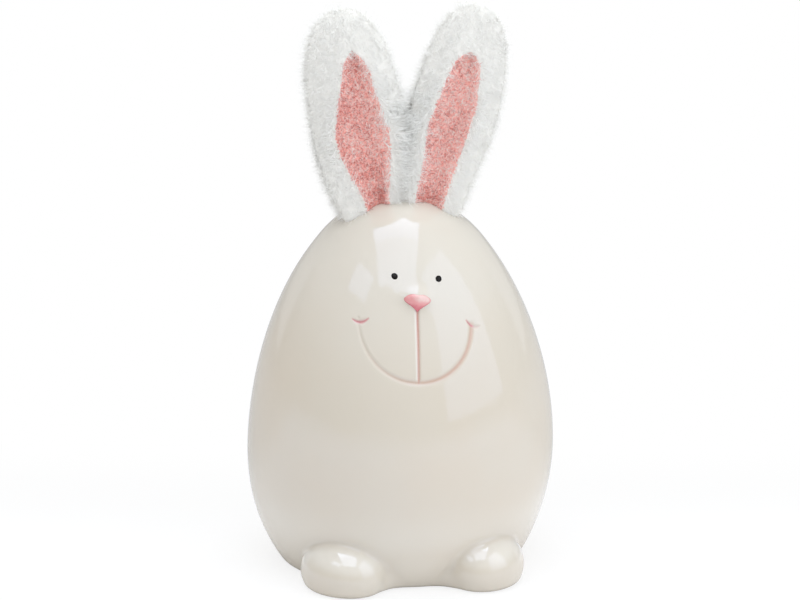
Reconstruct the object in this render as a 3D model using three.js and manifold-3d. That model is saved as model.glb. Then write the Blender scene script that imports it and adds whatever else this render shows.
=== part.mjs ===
// Rabbit figurine, in millimetres: a hollow egg-shaped ceramic rabbit with two cast feet and a coloured face,
// and two stuffed plush ears that stand on bent wires in its crown. +Z is up and the face looks towards -Y.
// Left and right are the viewer's, so the left side of the rabbit here lies towards -X.
import * as THREE from "three";
import { mergeVertices } from "three/addons/utils/BufferGeometryUtils.js";
import Module from "manifold-3d";

// Ceramic body: an egg of revolution about Z that stands on its cut-off lower end.
const BODY_RADIUS = 41;
const BODY_HEIGHT = 100;
const BELLY_HEIGHT = 32;
const CROWN_POWER = 1.775;
const BASE_RADIUS = 31.5;
const BASE_ROUND = 1.2;
const WALL = 4;
const FOOT_RING_WIDTH = 7;
const BASE_RECESS = 1;
const VENT_RADIUS = 4.5;

// Feet, cast in one piece with the body, cut flat at the base and turned towards each other.
const FOOT_WIDTH = 20.2;
const FOOT_LENGTH = 27.2;
const FOOT_HEIGHT = 13.8;
const FOOT_MIDDLE_HEIGHT = 5;
const FOOT_SPREAD = 37.7;
const FOOT_FORWARD = 27.6;
const FOOT_TURN_DEGREES = 24;

// Face, laid out in millimetres from the nose, across and up, and rolled a little as on the real one.
const NOSE_BELOW_CROWN = 22;
const FACE_ROLL_DEGREES = 5;
const NOSE_WIDTH = 7.6;
const NOSE_LENGTH = 4.8;
const NOSE_RELIEF = 1.6;
const EYE_RADIUS = 0.9;
const EYE_SPREAD = 11.8;
const EYE_RISE = 5.6;
const SMILE_WIDTH = 31.2;
const SMILE_DEPTH = 14.2;
const SMILE_DROP = 19.8;
const PHILTRUM_SLANT = 0.9;
const CHEEK_WIDTH = 4.5;
const CHEEK_DEPTH = 0.8;
const LEFT_CHEEK_TILT = 0.45;
const RIGHT_CHEEK_TILT = -0.8;
const LINE_RADIUS = 0.45;
const LINE_SINK = 0.3;

// Plush ears: flat leaf-shaped pads. Their lengths run from the crown to the tip.
const LEFT_EAR_LENGTH = 53;
const LEFT_EAR_WIDTH = 25;
const LEFT_EAR_ROOT_WIDTH = 15.8;
const LEFT_EAR_LEAN_DEGREES = -7.3;
const RIGHT_EAR_LENGTH = 54;
const RIGHT_EAR_WIDTH = 23.4;
const RIGHT_EAR_ROOT_WIDTH = 15.6;
const RIGHT_EAR_LEAN_DEGREES = 13.1;
const EAR_WIDEST_AT = 25;
const EAR_THICKNESS = 12;
const EAR_ROOT_THICKNESS = 11;
const EAR_TIP_POWER = 2.45;
const EAR_PARTING = 1;
const EAR_GAP = 0.8;
const HINGE_RISE = 3.2;
const PLUSH = 2;

// Pink lining let into a window of the front panel, a little to the inner side of the ear.
const LINING_LENGTH = 41;
const LINING_WIDTH = 13;
const LINING_START = 1.2;
const LINING_INWARD = 1.1;
const LINING_SINK = 0.6;

// Wire loop in each ear, and the glue that holds its two legs in a socket through the crown.
const WIRE_RADIUS = 0.6;
const WIRE_EDGE = 2.6;
const WIRE_LEG_SPREAD = 3.4;
const WIRE_TAIL = 9;
const SOCKET_RADIUS = 3.6;
const GLUE_SINK = 0.5;
const GLUE_BLOB = 2;

// Clearances, and the fineness of the round forms.
const GAP = 0.3;
const BODY_SEGMENTS = 48;
const HOLLOW_SEGMENTS = 28;
const EAR_SEGMENTS = 24;
const WIRE_STEPS = 36;
const FAR = 300;

const UNDER_HEIGHT = BELLY_HEIGHT / Math.sqrt(1 - (BASE_RADIUS / BODY_RADIUS) ** 2);
const HINGE_HEIGHT = BODY_HEIGHT + HINGE_RISE;
const NOSE_HEIGHT = BODY_HEIGHT - NOSE_BELOW_CROWN;

const wasm = await Module();
wasm.setup();
const group = new THREE.Group();
group.name = "rabbit_figurine";

const glaze = finish("glaze", "#e6dfd2", 0.12, 0);
const pinkEnamel = finish("pink_enamel", "#d98f92", 0.2, 0);
const blackEnamel = finish("black_enamel", "#16130f", 0.15, 0);
const lineStain = finish("line_stain", "#d9b8a8", 0.3, 0);
const whitePlush = finish("white_plush", "#eeece9", 0.95, 0);
const pinkPlush = finish("pink_plush", "#dda19c", 0.95, 0);
const fibreFill = finish("fibre_fill", "#f2f2f0", 1, 0);
const steelWire = finish("steel_wire", "#a8abad", 0.4, 1);
const hotGlue = finish("hot_glue", "#e3dcc4", 0.5, 0);

/** Plain surface finish. */
function finish(name, color, roughness, metalness) {
  return new THREE.MeshStandardMaterial({ name, color, roughness, metalness });
}

/** Turns a closed geometry into a solid for cutting and joining. */
function solidOf(geometry) {
  const bare = geometry.clone();
  bare.deleteAttribute("normal");
  bare.deleteAttribute("uv");
  const merged = mergeVertices(bare, 1e-5);
  const index = merged.index.array;
  const triangles = [];
  for (let i = 0; i < index.length; i += 3) {
    const [a, b, c] = [index[i], index[i + 1], index[i + 2]];
    if (a !== b && b !== c && c !== a) triangles.push(a, b, c);
  }
  const vertProperties = new Float32Array(merged.attributes.position.array);
  const triVerts = new Uint32Array(triangles);
  return new wasm.Manifold(new wasm.Mesh({ numProp: 3, vertProperties, triVerts }));
}

/** Adds a solid to the assembly as a named part. */
function addPart(name, solid, material) {
  const mesh = solid.getMesh();
  const geometry = new THREE.BufferGeometry();
  geometry.setAttribute("position", new THREE.BufferAttribute(new Float32Array(mesh.vertProperties), 3));
  geometry.setIndex(new THREE.BufferAttribute(new Uint32Array(mesh.triVerts), 1));
  geometry.computeVertexNormals();
  const part = new THREE.Mesh(geometry, material);
  part.name = name;
  group.add(part);
}

/** Solid of revolution about Z from a profile of [radius, height] pairs that runs upwards. */
function turned(profile, segments) {
  const points = profile.map(([radius, height]) => new THREE.Vector2(radius, height));
  return new THREE.LatheGeometry(points, segments).rotateX(Math.PI / 2);
}

/** Upright cylinder between two heights. */
function cylinder(radius, bottom, top, segments) {
  return turned([[0, bottom], [radius, bottom], [radius, top], [0, top]], segments);
}

/** Box between two corners. */
function box(from, to) {
  const size = new THREE.Vector3().subVectors(to, from);
  const middle = new THREE.Vector3().addVectors(from, to).multiplyScalar(0.5);
  return new THREE.BoxGeometry(size.x, size.y, size.z).translate(middle.x, middle.y, middle.z);
}

/** Round rod along a smooth curve through points. */
function rod(points, radius, steps) {
  const section = new THREE.Shape().absarc(0, 0, radius, 0, Math.PI * 2);
  const extrudePath = new THREE.CatmullRomCurve3(points);
  return new THREE.ExtrudeGeometry(section, { steps, curveSegments: 4, bevelEnabled: false, extrudePath });
}

/** The same run of points, made longer at both ends by a distance. */
function lengthened(points, distance) {
  const last = points.length - 1;
  const start = points[0].clone().sub(points[1]).setLength(distance).add(points[0]);
  const end = points[last].clone().sub(points[last - 1]).setLength(distance).add(points[last]);
  return [start, ...points, end];
}

/** Radius of the egg at a height, with the egg grown outwards by a margin. */
function eggRadius(height, margin = 0) {
  const radius = BODY_RADIUS + margin;
  if (height >= BELLY_HEIGHT) {
    const rise = (height - BELLY_HEIGHT) / (BODY_HEIGHT + margin - BELLY_HEIGHT);
    return radius * Math.sqrt(Math.max(0, 1 - rise ** CROWN_POWER));
  }
  const fall = (BELLY_HEIGHT - height) / (UNDER_HEIGHT + margin);
  return radius * Math.sqrt(Math.max(0, 1 - fall ** 2));
}

/** Height of the crown at a distance from the axis. */
function crownHeight(distance) {
  const rise = (1 - (distance / BODY_RADIUS) ** 2) ** (1 / CROWN_POWER);
  return BELLY_HEIGHT + (BODY_HEIGHT - BELLY_HEIGHT) * rise;
}

/** Egg grown by a margin and cut off at a floor, its lower edge rounded. */
function egg(margin, floor, edge, segments) {
  const lowerSteps = 5;
  const crownSteps = 14;
  const foot = floor + edge;
  const profile = [[0, floor]];
  if (edge > 0) {
    const edgeRadius = eggRadius(foot, margin);
    profile.push([edgeRadius - edge * 1.45, floor]);
    profile.push([edgeRadius - edge * 0.55, floor + edge * 0.28]);
  }
  for (let i = 0; i <= lowerSteps; i++) {
    const height = foot + (BELLY_HEIGHT - foot) * (i / lowerSteps);
    profile.push([eggRadius(height, margin), height]);
  }
  for (let i = 1; i < crownSteps; i++) {
    const height = BELLY_HEIGHT + (BODY_HEIGHT + margin - BELLY_HEIGHT) * (1 - (1 - i / crownSteps) ** 2);
    profile.push([eggRadius(height, margin), height]);
  }
  profile.push([0, BODY_HEIGHT + margin]);
  return solidOf(turned(profile, segments));
}

/** One foot, on the side given by -1 or 1. */
function foot(side) {
  const rise = FOOT_HEIGHT - FOOT_MIDDLE_HEIGHT;
  const lump = new THREE.SphereGeometry(1, 24, 14).rotateX(Math.PI / 2);
  lump.scale(FOOT_WIDTH / 2, FOOT_LENGTH / 2, rise);
  lump.rotateZ(-side * THREE.MathUtils.degToRad(FOOT_TURN_DEGREES));
  lump.translate(side * FOOT_SPREAD / 2, -FOOT_FORWARD, FOOT_MIDDLE_HEIGHT);
  const under = box(new THREE.Vector3(-FAR, -FAR, -FAR), new THREE.Vector3(FAR, FAR, 0));
  return solidOf(lump).subtract(solidOf(under));
}

/** Point on the glaze at a place of the face, sunk below it by a depth. */
function facePoint(across, up, depth = 0) {
  const roll = THREE.MathUtils.degToRad(FACE_ROLL_DEGREES);
  const height = NOSE_HEIGHT - across * Math.sin(roll) + up * Math.cos(roll);
  const sideways = across * Math.cos(roll) + up * Math.sin(roll);
  const angle = sideways / eggRadius(height);
  const radius = eggRadius(height, -depth);
  return new THREE.Vector3(radius * Math.sin(angle), -radius * Math.cos(angle), height);
}

/** Places a geometry made around the origin at a place of the face, its X across, Y up and Z outwards. */
function onFace(geometry, across, up) {
  const across3 = facePoint(across + 0.1, up).sub(facePoint(across - 0.1, up)).normalize();
  const up3 = facePoint(across, up + 0.1).sub(facePoint(across, up - 0.1));
  const out3 = new THREE.Vector3().crossVectors(across3, up3).normalize();
  up3.crossVectors(out3, across3);
  const frame = new THREE.Matrix4().makeBasis(across3, up3, out3).setPosition(facePoint(across, up));
  return geometry.applyMatrix4(frame);
}

/** Points of the smile, a half ellipse whose corners stop below the cheek marks. */
function smilePoints() {
  const reach = Math.acos((LINE_RADIUS * 2 + GAP + CHEEK_DEPTH / 2) / SMILE_DEPTH);
  const points = [];
  for (let i = -8; i <= 8; i++) {
    const turn = reach * i / 8;
    const across = SMILE_WIDTH / 2 * Math.sin(turn);
    points.push(facePoint(across, SMILE_DEPTH - SMILE_DROP - SMILE_DEPTH * Math.cos(turn), LINE_SINK));
  }
  return points;
}

/** Points of the upright line between the nose and the smile. */
function philtrumPoints() {
  const top = -NOSE_LENGTH / 2 - GAP - LINE_RADIUS * 2;
  const bottom = GAP * 2 + LINE_RADIUS * 2 - SMILE_DROP;
  return [0, 0.25, 0.5, 0.75, 1].map((share) => {
    return facePoint(PHILTRUM_SLANT * share, top + (bottom - top) * share, LINE_SINK);
  });
}

/** Points of the small curved mark at one corner of the smile, its right end raised by a tilt. */
function cheekPoints(side, tilt) {
  const middle = side * SMILE_WIDTH / 2;
  const low = SMILE_DEPTH - SMILE_DROP;
  return [-1, -0.5, 0, 0.5, 1].map((share) => {
    const up = low + CHEEK_DEPTH * share ** 2 + tilt * share;
    return facePoint(middle + share * CHEEK_WIDTH / 2, up, LINE_SINK);
  });
}

/** A line of stain and the groove it lies in. */
function faceLine(points, steps) {
  const line = solidOf(rod(points, LINE_RADIUS, steps));
  const groove = solidOf(rod(lengthened(points, GAP), LINE_RADIUS + GAP, steps));
  return { line, groove };
}

/** Raised nose with two round upper lobes and a point below. */
function nose(glazeSkin) {
  const half = NOSE_WIDTH / 2;
  const top = NOSE_LENGTH / 2;
  const shape = new THREE.Shape();
  shape.moveTo(0, -top);
  shape.bezierCurveTo(half * 0.5, -top * 0.9, half * 1.25, top * 0.4, half * 0.8, top * 0.85);
  shape.bezierCurveTo(half * 0.6, top * 1.05, half * 0.2, top, 0, top * 0.8);
  shape.bezierCurveTo(-half * 0.2, top, -half * 0.6, top * 1.05, -half * 0.8, top * 0.85);
  shape.bezierCurveTo(-half * 1.25, top * 0.4, -half * 0.5, -top * 0.9, 0, -top);
  const bevel = NOSE_RELIEF / 3;
  const pad = new THREE.ExtrudeGeometry(shape, {
    depth: NOSE_RELIEF,
    curveSegments: 6,
    bevelThickness: bevel,
    bevelSize: bevel,
    bevelOffset: -bevel,
    bevelSegments: 3,
  });
  pad.translate(0, 0, -bevel);
  return solidOf(onFace(pad, 0, 0)).subtract(glazeSkin);
}

/** Dome of one eye. */
function eye(side, glazeSkin) {
  const ball = new THREE.SphereGeometry(EYE_RADIUS, 12, 8);
  return solidOf(onFace(ball, side * EYE_SPREAD / 2, EYE_RISE)).subtract(glazeSkin);
}

/** Half of an ear's breadth at a distance along it from the crown. */
function leafHalf(along, length, rootHalf, fullHalf) {
  if (along <= EAR_WIDEST_AT) {
    const share = Math.max(0, along) / EAR_WIDEST_AT;
    return rootHalf + (fullHalf - rootHalf) * Math.sin(share * Math.PI / 2);
  }
  const share = Math.min(1, (along - EAR_WIDEST_AT) / (length - EAR_WIDEST_AT));
  return fullHalf * (1 - share ** EAR_TIP_POWER) ** (1 / EAR_TIP_POWER);
}

/** Sizes and place of one ear, set so that its inner edge keeps its share of the gap between the ears. */
function earPlan(side, length, width, rootWidth, leanDegrees) {
  const lean = THREE.MathUtils.degToRad(leanDegrees);
  let reach = 0;
  const steps = 40;
  for (let i = 0; i <= steps; i++) {
    const along = length * i / steps;
    const half = leafHalf(along, length, rootWidth / 2, width / 2);
    reach = Math.max(reach, half * Math.cos(lean) - along * Math.sin(Math.abs(lean)));
  }
  const rootX = EAR_PARTING + side * (EAR_GAP / 2 + reach);
  const rootDepth = (HINGE_HEIGHT - crownHeight(Math.abs(rootX))) / Math.cos(lean);
  const hingeX = rootX + rootDepth * Math.sin(lean);
  const place = new THREE.Matrix4().makeRotationY(lean).setPosition(hingeX, 0, HINGE_HEIGHT);
  return { side, length, width, rootWidth, rootDepth, place };
}

/** Puts a geometry that is made along an ear, from the crown up, into its place in the assembly. */
function placed(geometry, ear) {
  return solidOf(geometry.translate(0, 0, -ear.rootDepth).applyMatrix4(ear.place));
}

/** Leaf-shaped solid of an ear, all its faces set inwards by a distance. */
function leaf(ear, inset) {
  const below = -SOCKET_RADIUS * 3;
  const steps = 14;
  const length = ear.length - inset;
  const widthAt = (along) => leafHalf(along, length, ear.rootWidth / 2 - inset, ear.width / 2 - inset);
  const depthAt = (along) => leafHalf(along, length, EAR_ROOT_THICKNESS / 2 - inset, EAR_THICKNESS / 2 - inset);
  const profile = [[0, below], [widthAt(0), below]];
  for (let i = 0; i < steps; i++) {
    const along = length * Math.sin(i / steps * Math.PI / 2);
    profile.push([widthAt(along), along]);
  }
  profile.push([0, length]);
  const geometry = turned(profile, EAR_SEGMENTS);
  const position = geometry.attributes.position;
  for (let i = 0; i < position.count; i++) {
    const along = Math.min(position.getZ(i), length * 0.999);
    position.setY(i, position.getY(i) * depthAt(along) / widthAt(along));
  }
  return placed(geometry, ear);
}

/** Prism through the front of an ear, for the window and, with a margin taken off, for the lining in it. */
function liningPrism(ear, margin) {
  const shape = new THREE.Shape();
  const middle = LINING_START + LINING_LENGTH / 2;
  const halfWidth = LINING_WIDTH / 2 - margin;
  const halfLength = LINING_LENGTH / 2 - margin;
  shape.absellipse(-ear.side * LINING_INWARD, middle, halfWidth, halfLength, 0, Math.PI * 2);
  const cut = { depth: EAR_THICKNESS, curveSegments: 16, bevelEnabled: false };
  return placed(new THREE.ExtrudeGeometry(shape, cut).rotateX(Math.PI / 2), ear);
}

/** Points of the wire loop: up one leg, round inside the edge of the ear and down the other leg. */
function wirePoints(ear) {
  const inset = PLUSH + GAP + WIRE_EDGE;
  const length = ear.length - inset;
  const side = [];
  side.push(new THREE.Vector3(WIRE_LEG_SPREAD / 2, 0, -WIRE_TAIL));
  side.push(new THREE.Vector3(WIRE_LEG_SPREAD / 2, 0, -WIRE_TAIL / 2));
  side.push(new THREE.Vector3(WIRE_LEG_SPREAD / 2, 0, 0));
  side.push(new THREE.Vector3(WIRE_LEG_SPREAD / 2, 0, ear.rootDepth));
  for (const share of [0.42, 0.6, 0.76, 0.9]) {
    const along = length * share;
    const half = leafHalf(along, length, ear.rootWidth / 2 - inset, ear.width / 2 - inset);
    side.push(new THREE.Vector3(half, 0, along));
  }
  const other = side.map((point) => new THREE.Vector3(-point.x, 0, point.z)).reverse();
  return [...side, new THREE.Vector3(0, 0, length), ...other];
}

/** Half of space beyond a plane of the ear's seam: the front for -1, the back for 1. */
function seamSide(facing) {
  const near = facing * GAP / 2;
  const far = facing * FAR;
  const from = new THREE.Vector3(-FAR, Math.min(near, far), -FAR);
  const to = new THREE.Vector3(FAR, Math.max(near, far), FAR);
  return solidOf(box(from, to));
}

/** Room in which the ears may lie so that they swing about the hinge line clear of the crown. */
function swingRoom() {
  const reach = BODY_RADIUS * 0.75;
  const steps = 16;
  const profile = [[0, -reach]];
  for (let i = 0; i <= steps; i++) {
    const along = -reach + 2 * reach * i / steps;
    profile.push([HINGE_HEIGHT - crownHeight(Math.abs(along)) - GAP, along]);
  }
  profile.push([0, reach]);
  const round = turned(profile, 32).rotateY(Math.PI / 2).translate(0, 0, HINGE_HEIGHT);
  const above = box(new THREE.Vector3(-FAR, -FAR, HINGE_HEIGHT), new THREE.Vector3(FAR, FAR, FAR * 2));
  return solidOf(round).add(solidOf(above));
}

/** Adds the six pieces of one ear. */
function addEar(name, ear, room) {
  const wire = rod(wirePoints(ear), WIRE_RADIUS, WIRE_STEPS);
  const wireBore = placed(rod(lengthened(wirePoints(ear), GAP), WIRE_RADIUS + GAP, WIRE_STEPS), ear);
  const stuffing = leaf(ear, PLUSH + GAP).intersect(room).subtract(wireBore);
  const inside = leaf(ear, PLUSH);
  const cover = leaf(ear, 0).subtract(inside).intersect(room);
  const lining = leaf(ear, LINING_SINK).subtract(inside).intersect(liningPrism(ear, GAP)).intersect(room);
  const plug = placed(cylinder(SOCKET_RADIUS - GAP, -WALL - GLUE_BLOB, WALL * 2, 24), ear);
  addPart(`${name}_ear_back_panel`, cover.intersect(seamSide(1)), whitePlush);
  addPart(`${name}_ear_front_panel`, cover.intersect(seamSide(-1)).subtract(liningPrism(ear, 0)), whitePlush);
  addPart(`${name}_ear_lining`, lining.intersect(seamSide(-1)), pinkPlush);
  addPart(`${name}_ear_wadding`, stuffing, fibreFill);
  addPart(`${name}_ear_wire`, placed(wire, ear), steelWire);
  addPart(`${name}_ear_glue`, plug.intersect(egg(-GLUE_SINK, 0, 0, BODY_SEGMENTS)).subtract(wireBore), hotGlue);
}

/** Adds the hollow body with its feet, its vent, the ear sockets and the grooves of the face. */
function addBody(ears, grooves) {
  const recessRadius = BASE_RADIUS - BASE_ROUND - FOOT_RING_WIDTH;
  const floor = BASE_RECESS + WALL;
  let body = egg(0, 0, BASE_ROUND, BODY_SEGMENTS).add(foot(-1)).add(foot(1));
  body = body.subtract(egg(-WALL, floor, 0, HOLLOW_SEGMENTS));
  body = body.subtract(solidOf(cylinder(recessRadius, -1, BASE_RECESS, BODY_SEGMENTS)));
  body = body.subtract(solidOf(cylinder(VENT_RADIUS, -1, floor + 1, 24)));
  for (const ear of ears) {
    body = body.subtract(placed(cylinder(SOCKET_RADIUS, -WALL * 4, WALL * 2, 24), ear));
  }
  for (const groove of grooves) {
    body = body.subtract(groove);
  }
  addPart("ceramic_body", body, glaze);
}

const leftEar = earPlan(-1, LEFT_EAR_LENGTH, LEFT_EAR_WIDTH, LEFT_EAR_ROOT_WIDTH, LEFT_EAR_LEAN_DEGREES);
const rightEar = earPlan(1, RIGHT_EAR_LENGTH, RIGHT_EAR_WIDTH, RIGHT_EAR_ROOT_WIDTH, RIGHT_EAR_LEAN_DEGREES);
const smile = faceLine(smilePoints(), 32);
const philtrum = faceLine(philtrumPoints(), 10);
const leftCheek = faceLine(cheekPoints(-1, LEFT_CHEEK_TILT), 8);
const rightCheek = faceLine(cheekPoints(1, RIGHT_CHEEK_TILT), 8);
const glazeSkin = egg(GAP, 0, 0, BODY_SEGMENTS);

addBody([leftEar, rightEar], [smile.groove, philtrum.groove, leftCheek.groove, rightCheek.groove]);
addPart("nose", nose(glazeSkin), pinkEnamel);
addPart("left_eye", eye(-1, glazeSkin), blackEnamel);
addPart("right_eye", eye(1, glazeSkin), blackEnamel);
addPart("smile_line", smile.line, lineStain);
addPart("philtrum_line", philtrum.line, lineStain);
addPart("left_cheek_mark", leftCheek.line, lineStain);
addPart("right_cheek_mark", rightCheek.line, lineStain);

const room = swingRoom();
addEar("left", leftEar, room);
addEar("right", rightEar, room);

export default group;
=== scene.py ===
"""Looks of the rabbit figurine: a glazed egg with a coloured face, and two plush ears on its crown.

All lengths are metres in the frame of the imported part: +Z is up, the face looks towards -Y, and left
and right are the viewer's. The sizes repeat the driving dimensions of the part's source.
"""

import logging
import math
from dataclasses import dataclass, field
from enum import Enum
from typing import Any, Callable, Sequence

import bmesh
import bpy
import numpy as np
from mathutils import Matrix, Vector, noise


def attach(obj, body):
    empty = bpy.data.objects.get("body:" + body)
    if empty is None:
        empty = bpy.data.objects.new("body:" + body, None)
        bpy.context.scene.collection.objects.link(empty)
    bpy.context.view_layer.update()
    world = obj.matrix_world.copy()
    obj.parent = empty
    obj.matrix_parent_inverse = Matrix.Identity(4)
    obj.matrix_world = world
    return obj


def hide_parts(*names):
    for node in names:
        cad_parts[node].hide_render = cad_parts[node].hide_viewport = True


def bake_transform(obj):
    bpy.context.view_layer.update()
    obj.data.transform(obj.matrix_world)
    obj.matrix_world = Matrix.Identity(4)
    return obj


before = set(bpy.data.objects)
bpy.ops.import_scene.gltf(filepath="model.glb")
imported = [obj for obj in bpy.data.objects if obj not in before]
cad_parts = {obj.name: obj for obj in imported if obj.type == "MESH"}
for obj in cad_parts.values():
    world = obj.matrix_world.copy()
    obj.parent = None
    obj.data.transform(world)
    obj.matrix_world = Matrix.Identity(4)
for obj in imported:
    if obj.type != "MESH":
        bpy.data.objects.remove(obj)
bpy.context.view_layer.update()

MM = 0.001
FULL_TURN = 2 * math.pi
PILE_MAP = "OFBake"
ROOT_BODY = "figurine"
LUMP_SEED = 16
LINING_SEED = 50
SAME_POINT = 0.001 * MM
TINY = 1e-9
SLOPE_STEP = 0.2 * MM
SHARP_ANGLE = math.radians(50)
COAT_ROUGHNESS = 0.03

Colour = tuple[float, float, float]
Span = tuple[float, float]
log = logging.getLogger("rabbit_figurine")


def seen(red: int, green: int, blue: int) -> Colour:
    """Turns a colour as a screen shows it, from 0 to 255, into the linear colour that shaders take."""
    shares = (red / 255, green / 255, blue / 255)
    return tuple(s / 12.92 if s <= 0.04045 else ((s + 0.055) / 1.055) ** 2.4 for s in shares)


def smooth_step(values: np.ndarray | float, low: float, high: float) -> np.ndarray:
    """Grades numbers smoothly, from 0 at low and below it to 1 at high and above it."""
    share = np.clip((values - low) / (high - low), 0, 1)
    return share * share * (3 - 2 * share)


def smooth_min(first: np.ndarray, second: np.ndarray, reach: np.ndarray | float) -> np.ndarray:
    """Joins two fields of distances with a fillet that spreads as far as the reach."""
    share = np.maximum(reach - np.abs(first - second), 0) / reach
    return np.minimum(first, second) - share * share * reach / 4


def hump(away: np.ndarray | float) -> np.ndarray:
    """Gives the height of a bell that is 1 in its middle and spreads as far as 1 on either side."""
    return np.exp(-(away**2))


def points_of(bm: bmesh.types.BMesh) -> np.ndarray:
    """Returns the places of a mesh's points, one row each."""
    return np.array([v.co for v in bm.verts], float).reshape(-1, 3)


def move_points(bm: bmesh.types.BMesh, places: np.ndarray) -> None:
    """Moves each point of a mesh to its new place."""
    for vert, place in zip(bm.verts, places):
        vert.co = place


def turned(profile: Sequence[tuple[float, float]], steps: int) -> bmesh.types.BMesh:
    """Turns a profile about Z.

    Args:
        profile: Radii and heights, from the open lower edge up to the pole.
        steps: Steps round the axis.

    Returns:
        The mesh, with its pole closed and its faces outwards.
    """
    bm = bmesh.new()
    verts = [bm.verts.new((float(radius), 0, float(height))) for radius, height in profile]
    edges = [bm.edges.new(pair) for pair in zip(verts, verts[1:])]
    axis = {"axis": (0, 0, 1), "cent": (0, 0, 0)}
    bmesh.ops.spin(bm, geom=verts + edges, angle=FULL_TURN, steps=steps, use_merge=True, **axis)
    bmesh.ops.remove_doubles(bm, verts=bm.verts, dist=SAME_POINT)
    bmesh.ops.recalc_face_normals(bm, faces=bm.faces)
    return bm


def divide(bm: bmesh.types.BMesh, near: Callable[[np.ndarray], np.ndarray], cuts: int) -> None:
    """Divides the faces in a region of a mesh more finely.

    Args:
        bm: The mesh.
        near: Tells which of the given points lie in the region.
        cuts: Cuts in each edge.
    """
    chosen = near(points_of(bm))
    bm.verts.index_update()
    faces = [f for f in bm.faces if any(chosen[v.index] for v in f.verts)]
    edges = list(dict.fromkeys(edge for f in faces for edge in f.edges))
    bmesh.ops.subdivide_edges(bm, edges=edges, cuts=cuts, use_grid_fill=True)


def in_order(bm: bmesh.types.BMesh) -> bmesh.types.BMesh:
    """Rebuilds a mesh so that the order of its points and faces depends only on their places.

    Args:
        bm: The mesh, which is freed.

    Returns:
        The same mesh, alike in every run.
    """
    places = points_of(bm)
    order = np.lexsort(np.round(places / SAME_POINT).T)
    number = np.argsort(order).tolist()
    bm.verts.index_update()
    rings = []
    for face in bm.faces:
        ring = [number[v.index] for v in face.verts]
        first = ring.index(min(ring))
        rings.append(ring[first:] + ring[:first])
    bm.free()
    rebuilt = bmesh.new()
    verts = [rebuilt.verts.new(places[i]) for i in order]
    for ring in sorted(rings):
        rebuilt.faces.new([verts[i] for i in ring])
    return rebuilt


def new_piece(name: str, bm: bmesh.types.BMesh, material: bpy.types.Material) -> bpy.types.Object:
    """Turns a finished mesh into a smooth-shaded object of the scene.

    Args:
        name: Name of the piece.
        bm: Its mesh, which is freed.
        material: Its finish.

    Returns:
        The object, at the origin.
    """
    mesh = bpy.data.meshes.new(name)
    bm.to_mesh(mesh)
    bm.free()
    mesh.shade_smooth()
    mesh.materials.append(material)
    piece = bpy.data.objects.new(name, mesh)
    bpy.context.scene.collection.objects.link(piece)
    return piece


def make_real(piece: bpy.types.Object) -> None:
    """Replaces an object's mesh by the outcome of its modifiers, and removes them.

    Args:
        piece: The object.
    """
    graph = bpy.context.evaluated_depsgraph_get()
    outcome = piece.evaluated_get(graph)
    mesh = bpy.data.meshes.new_from_object(outcome, preserve_all_data_layers=True, depsgraph=graph)
    old = piece.data
    piece.modifiers.clear()
    piece.data = mesh
    bpy.data.meshes.remove(old)
    mesh.name = piece.name


class Signal:
    """A node's socket that takes part in Python expressions, each of which adds its Math nodes."""

    def __init__(self, nodes: "Nodes", socket: bpy.types.NodeSocket) -> None:
        """Keeps the socket and the tree that it belongs to."""
        self.nodes = nodes
        self.socket = socket

    def also(self, output: str) -> "Signal":
        """Returns another output of the same node."""
        return Signal(self.nodes, self.socket.node.outputs[output])

    def _math(self, operation: str, first: "Signal | float", second: "Signal | float") -> "Signal":
        """Adds one Math node and returns its outcome."""
        return self.nodes.node("ShaderNodeMath", {"operation": operation}, {0: first, 1: second})

    def __add__(self, other: "Signal | float") -> "Signal":
        """Returns self + other."""
        return self._math("ADD", self, other)

    def __radd__(self, other: float) -> "Signal":
        """Returns other + self."""
        return self._math("ADD", other, self)

    def __sub__(self, other: "Signal | float") -> "Signal":
        """Returns self - other."""
        return self._math("SUBTRACT", self, other)

    def __rsub__(self, other: float) -> "Signal":
        """Returns other - self."""
        return self._math("SUBTRACT", other, self)

    def __mul__(self, other: "Signal | float") -> "Signal":
        """Returns self * other."""
        return self._math("MULTIPLY", self, other)

    def __rmul__(self, other: float) -> "Signal":
        """Returns other * self."""
        return self._math("MULTIPLY", other, self)

    def graded(self, low: float, high: float) -> "Signal":
        """Rises smoothly from 0 where the value is low to 1 where it is high."""
        sockets = {"Value": self, "From Min": low, "From Max": high}
        return self.nodes.node("ShaderNodeMapRange", {"interpolation_type": "SMOOTHSTEP"}, sockets)

    def spread(self, low: float, high: float) -> "Signal":
        """Runs from low where the value is 0 to high where it is 1."""
        return low + (high - low) * self


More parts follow.
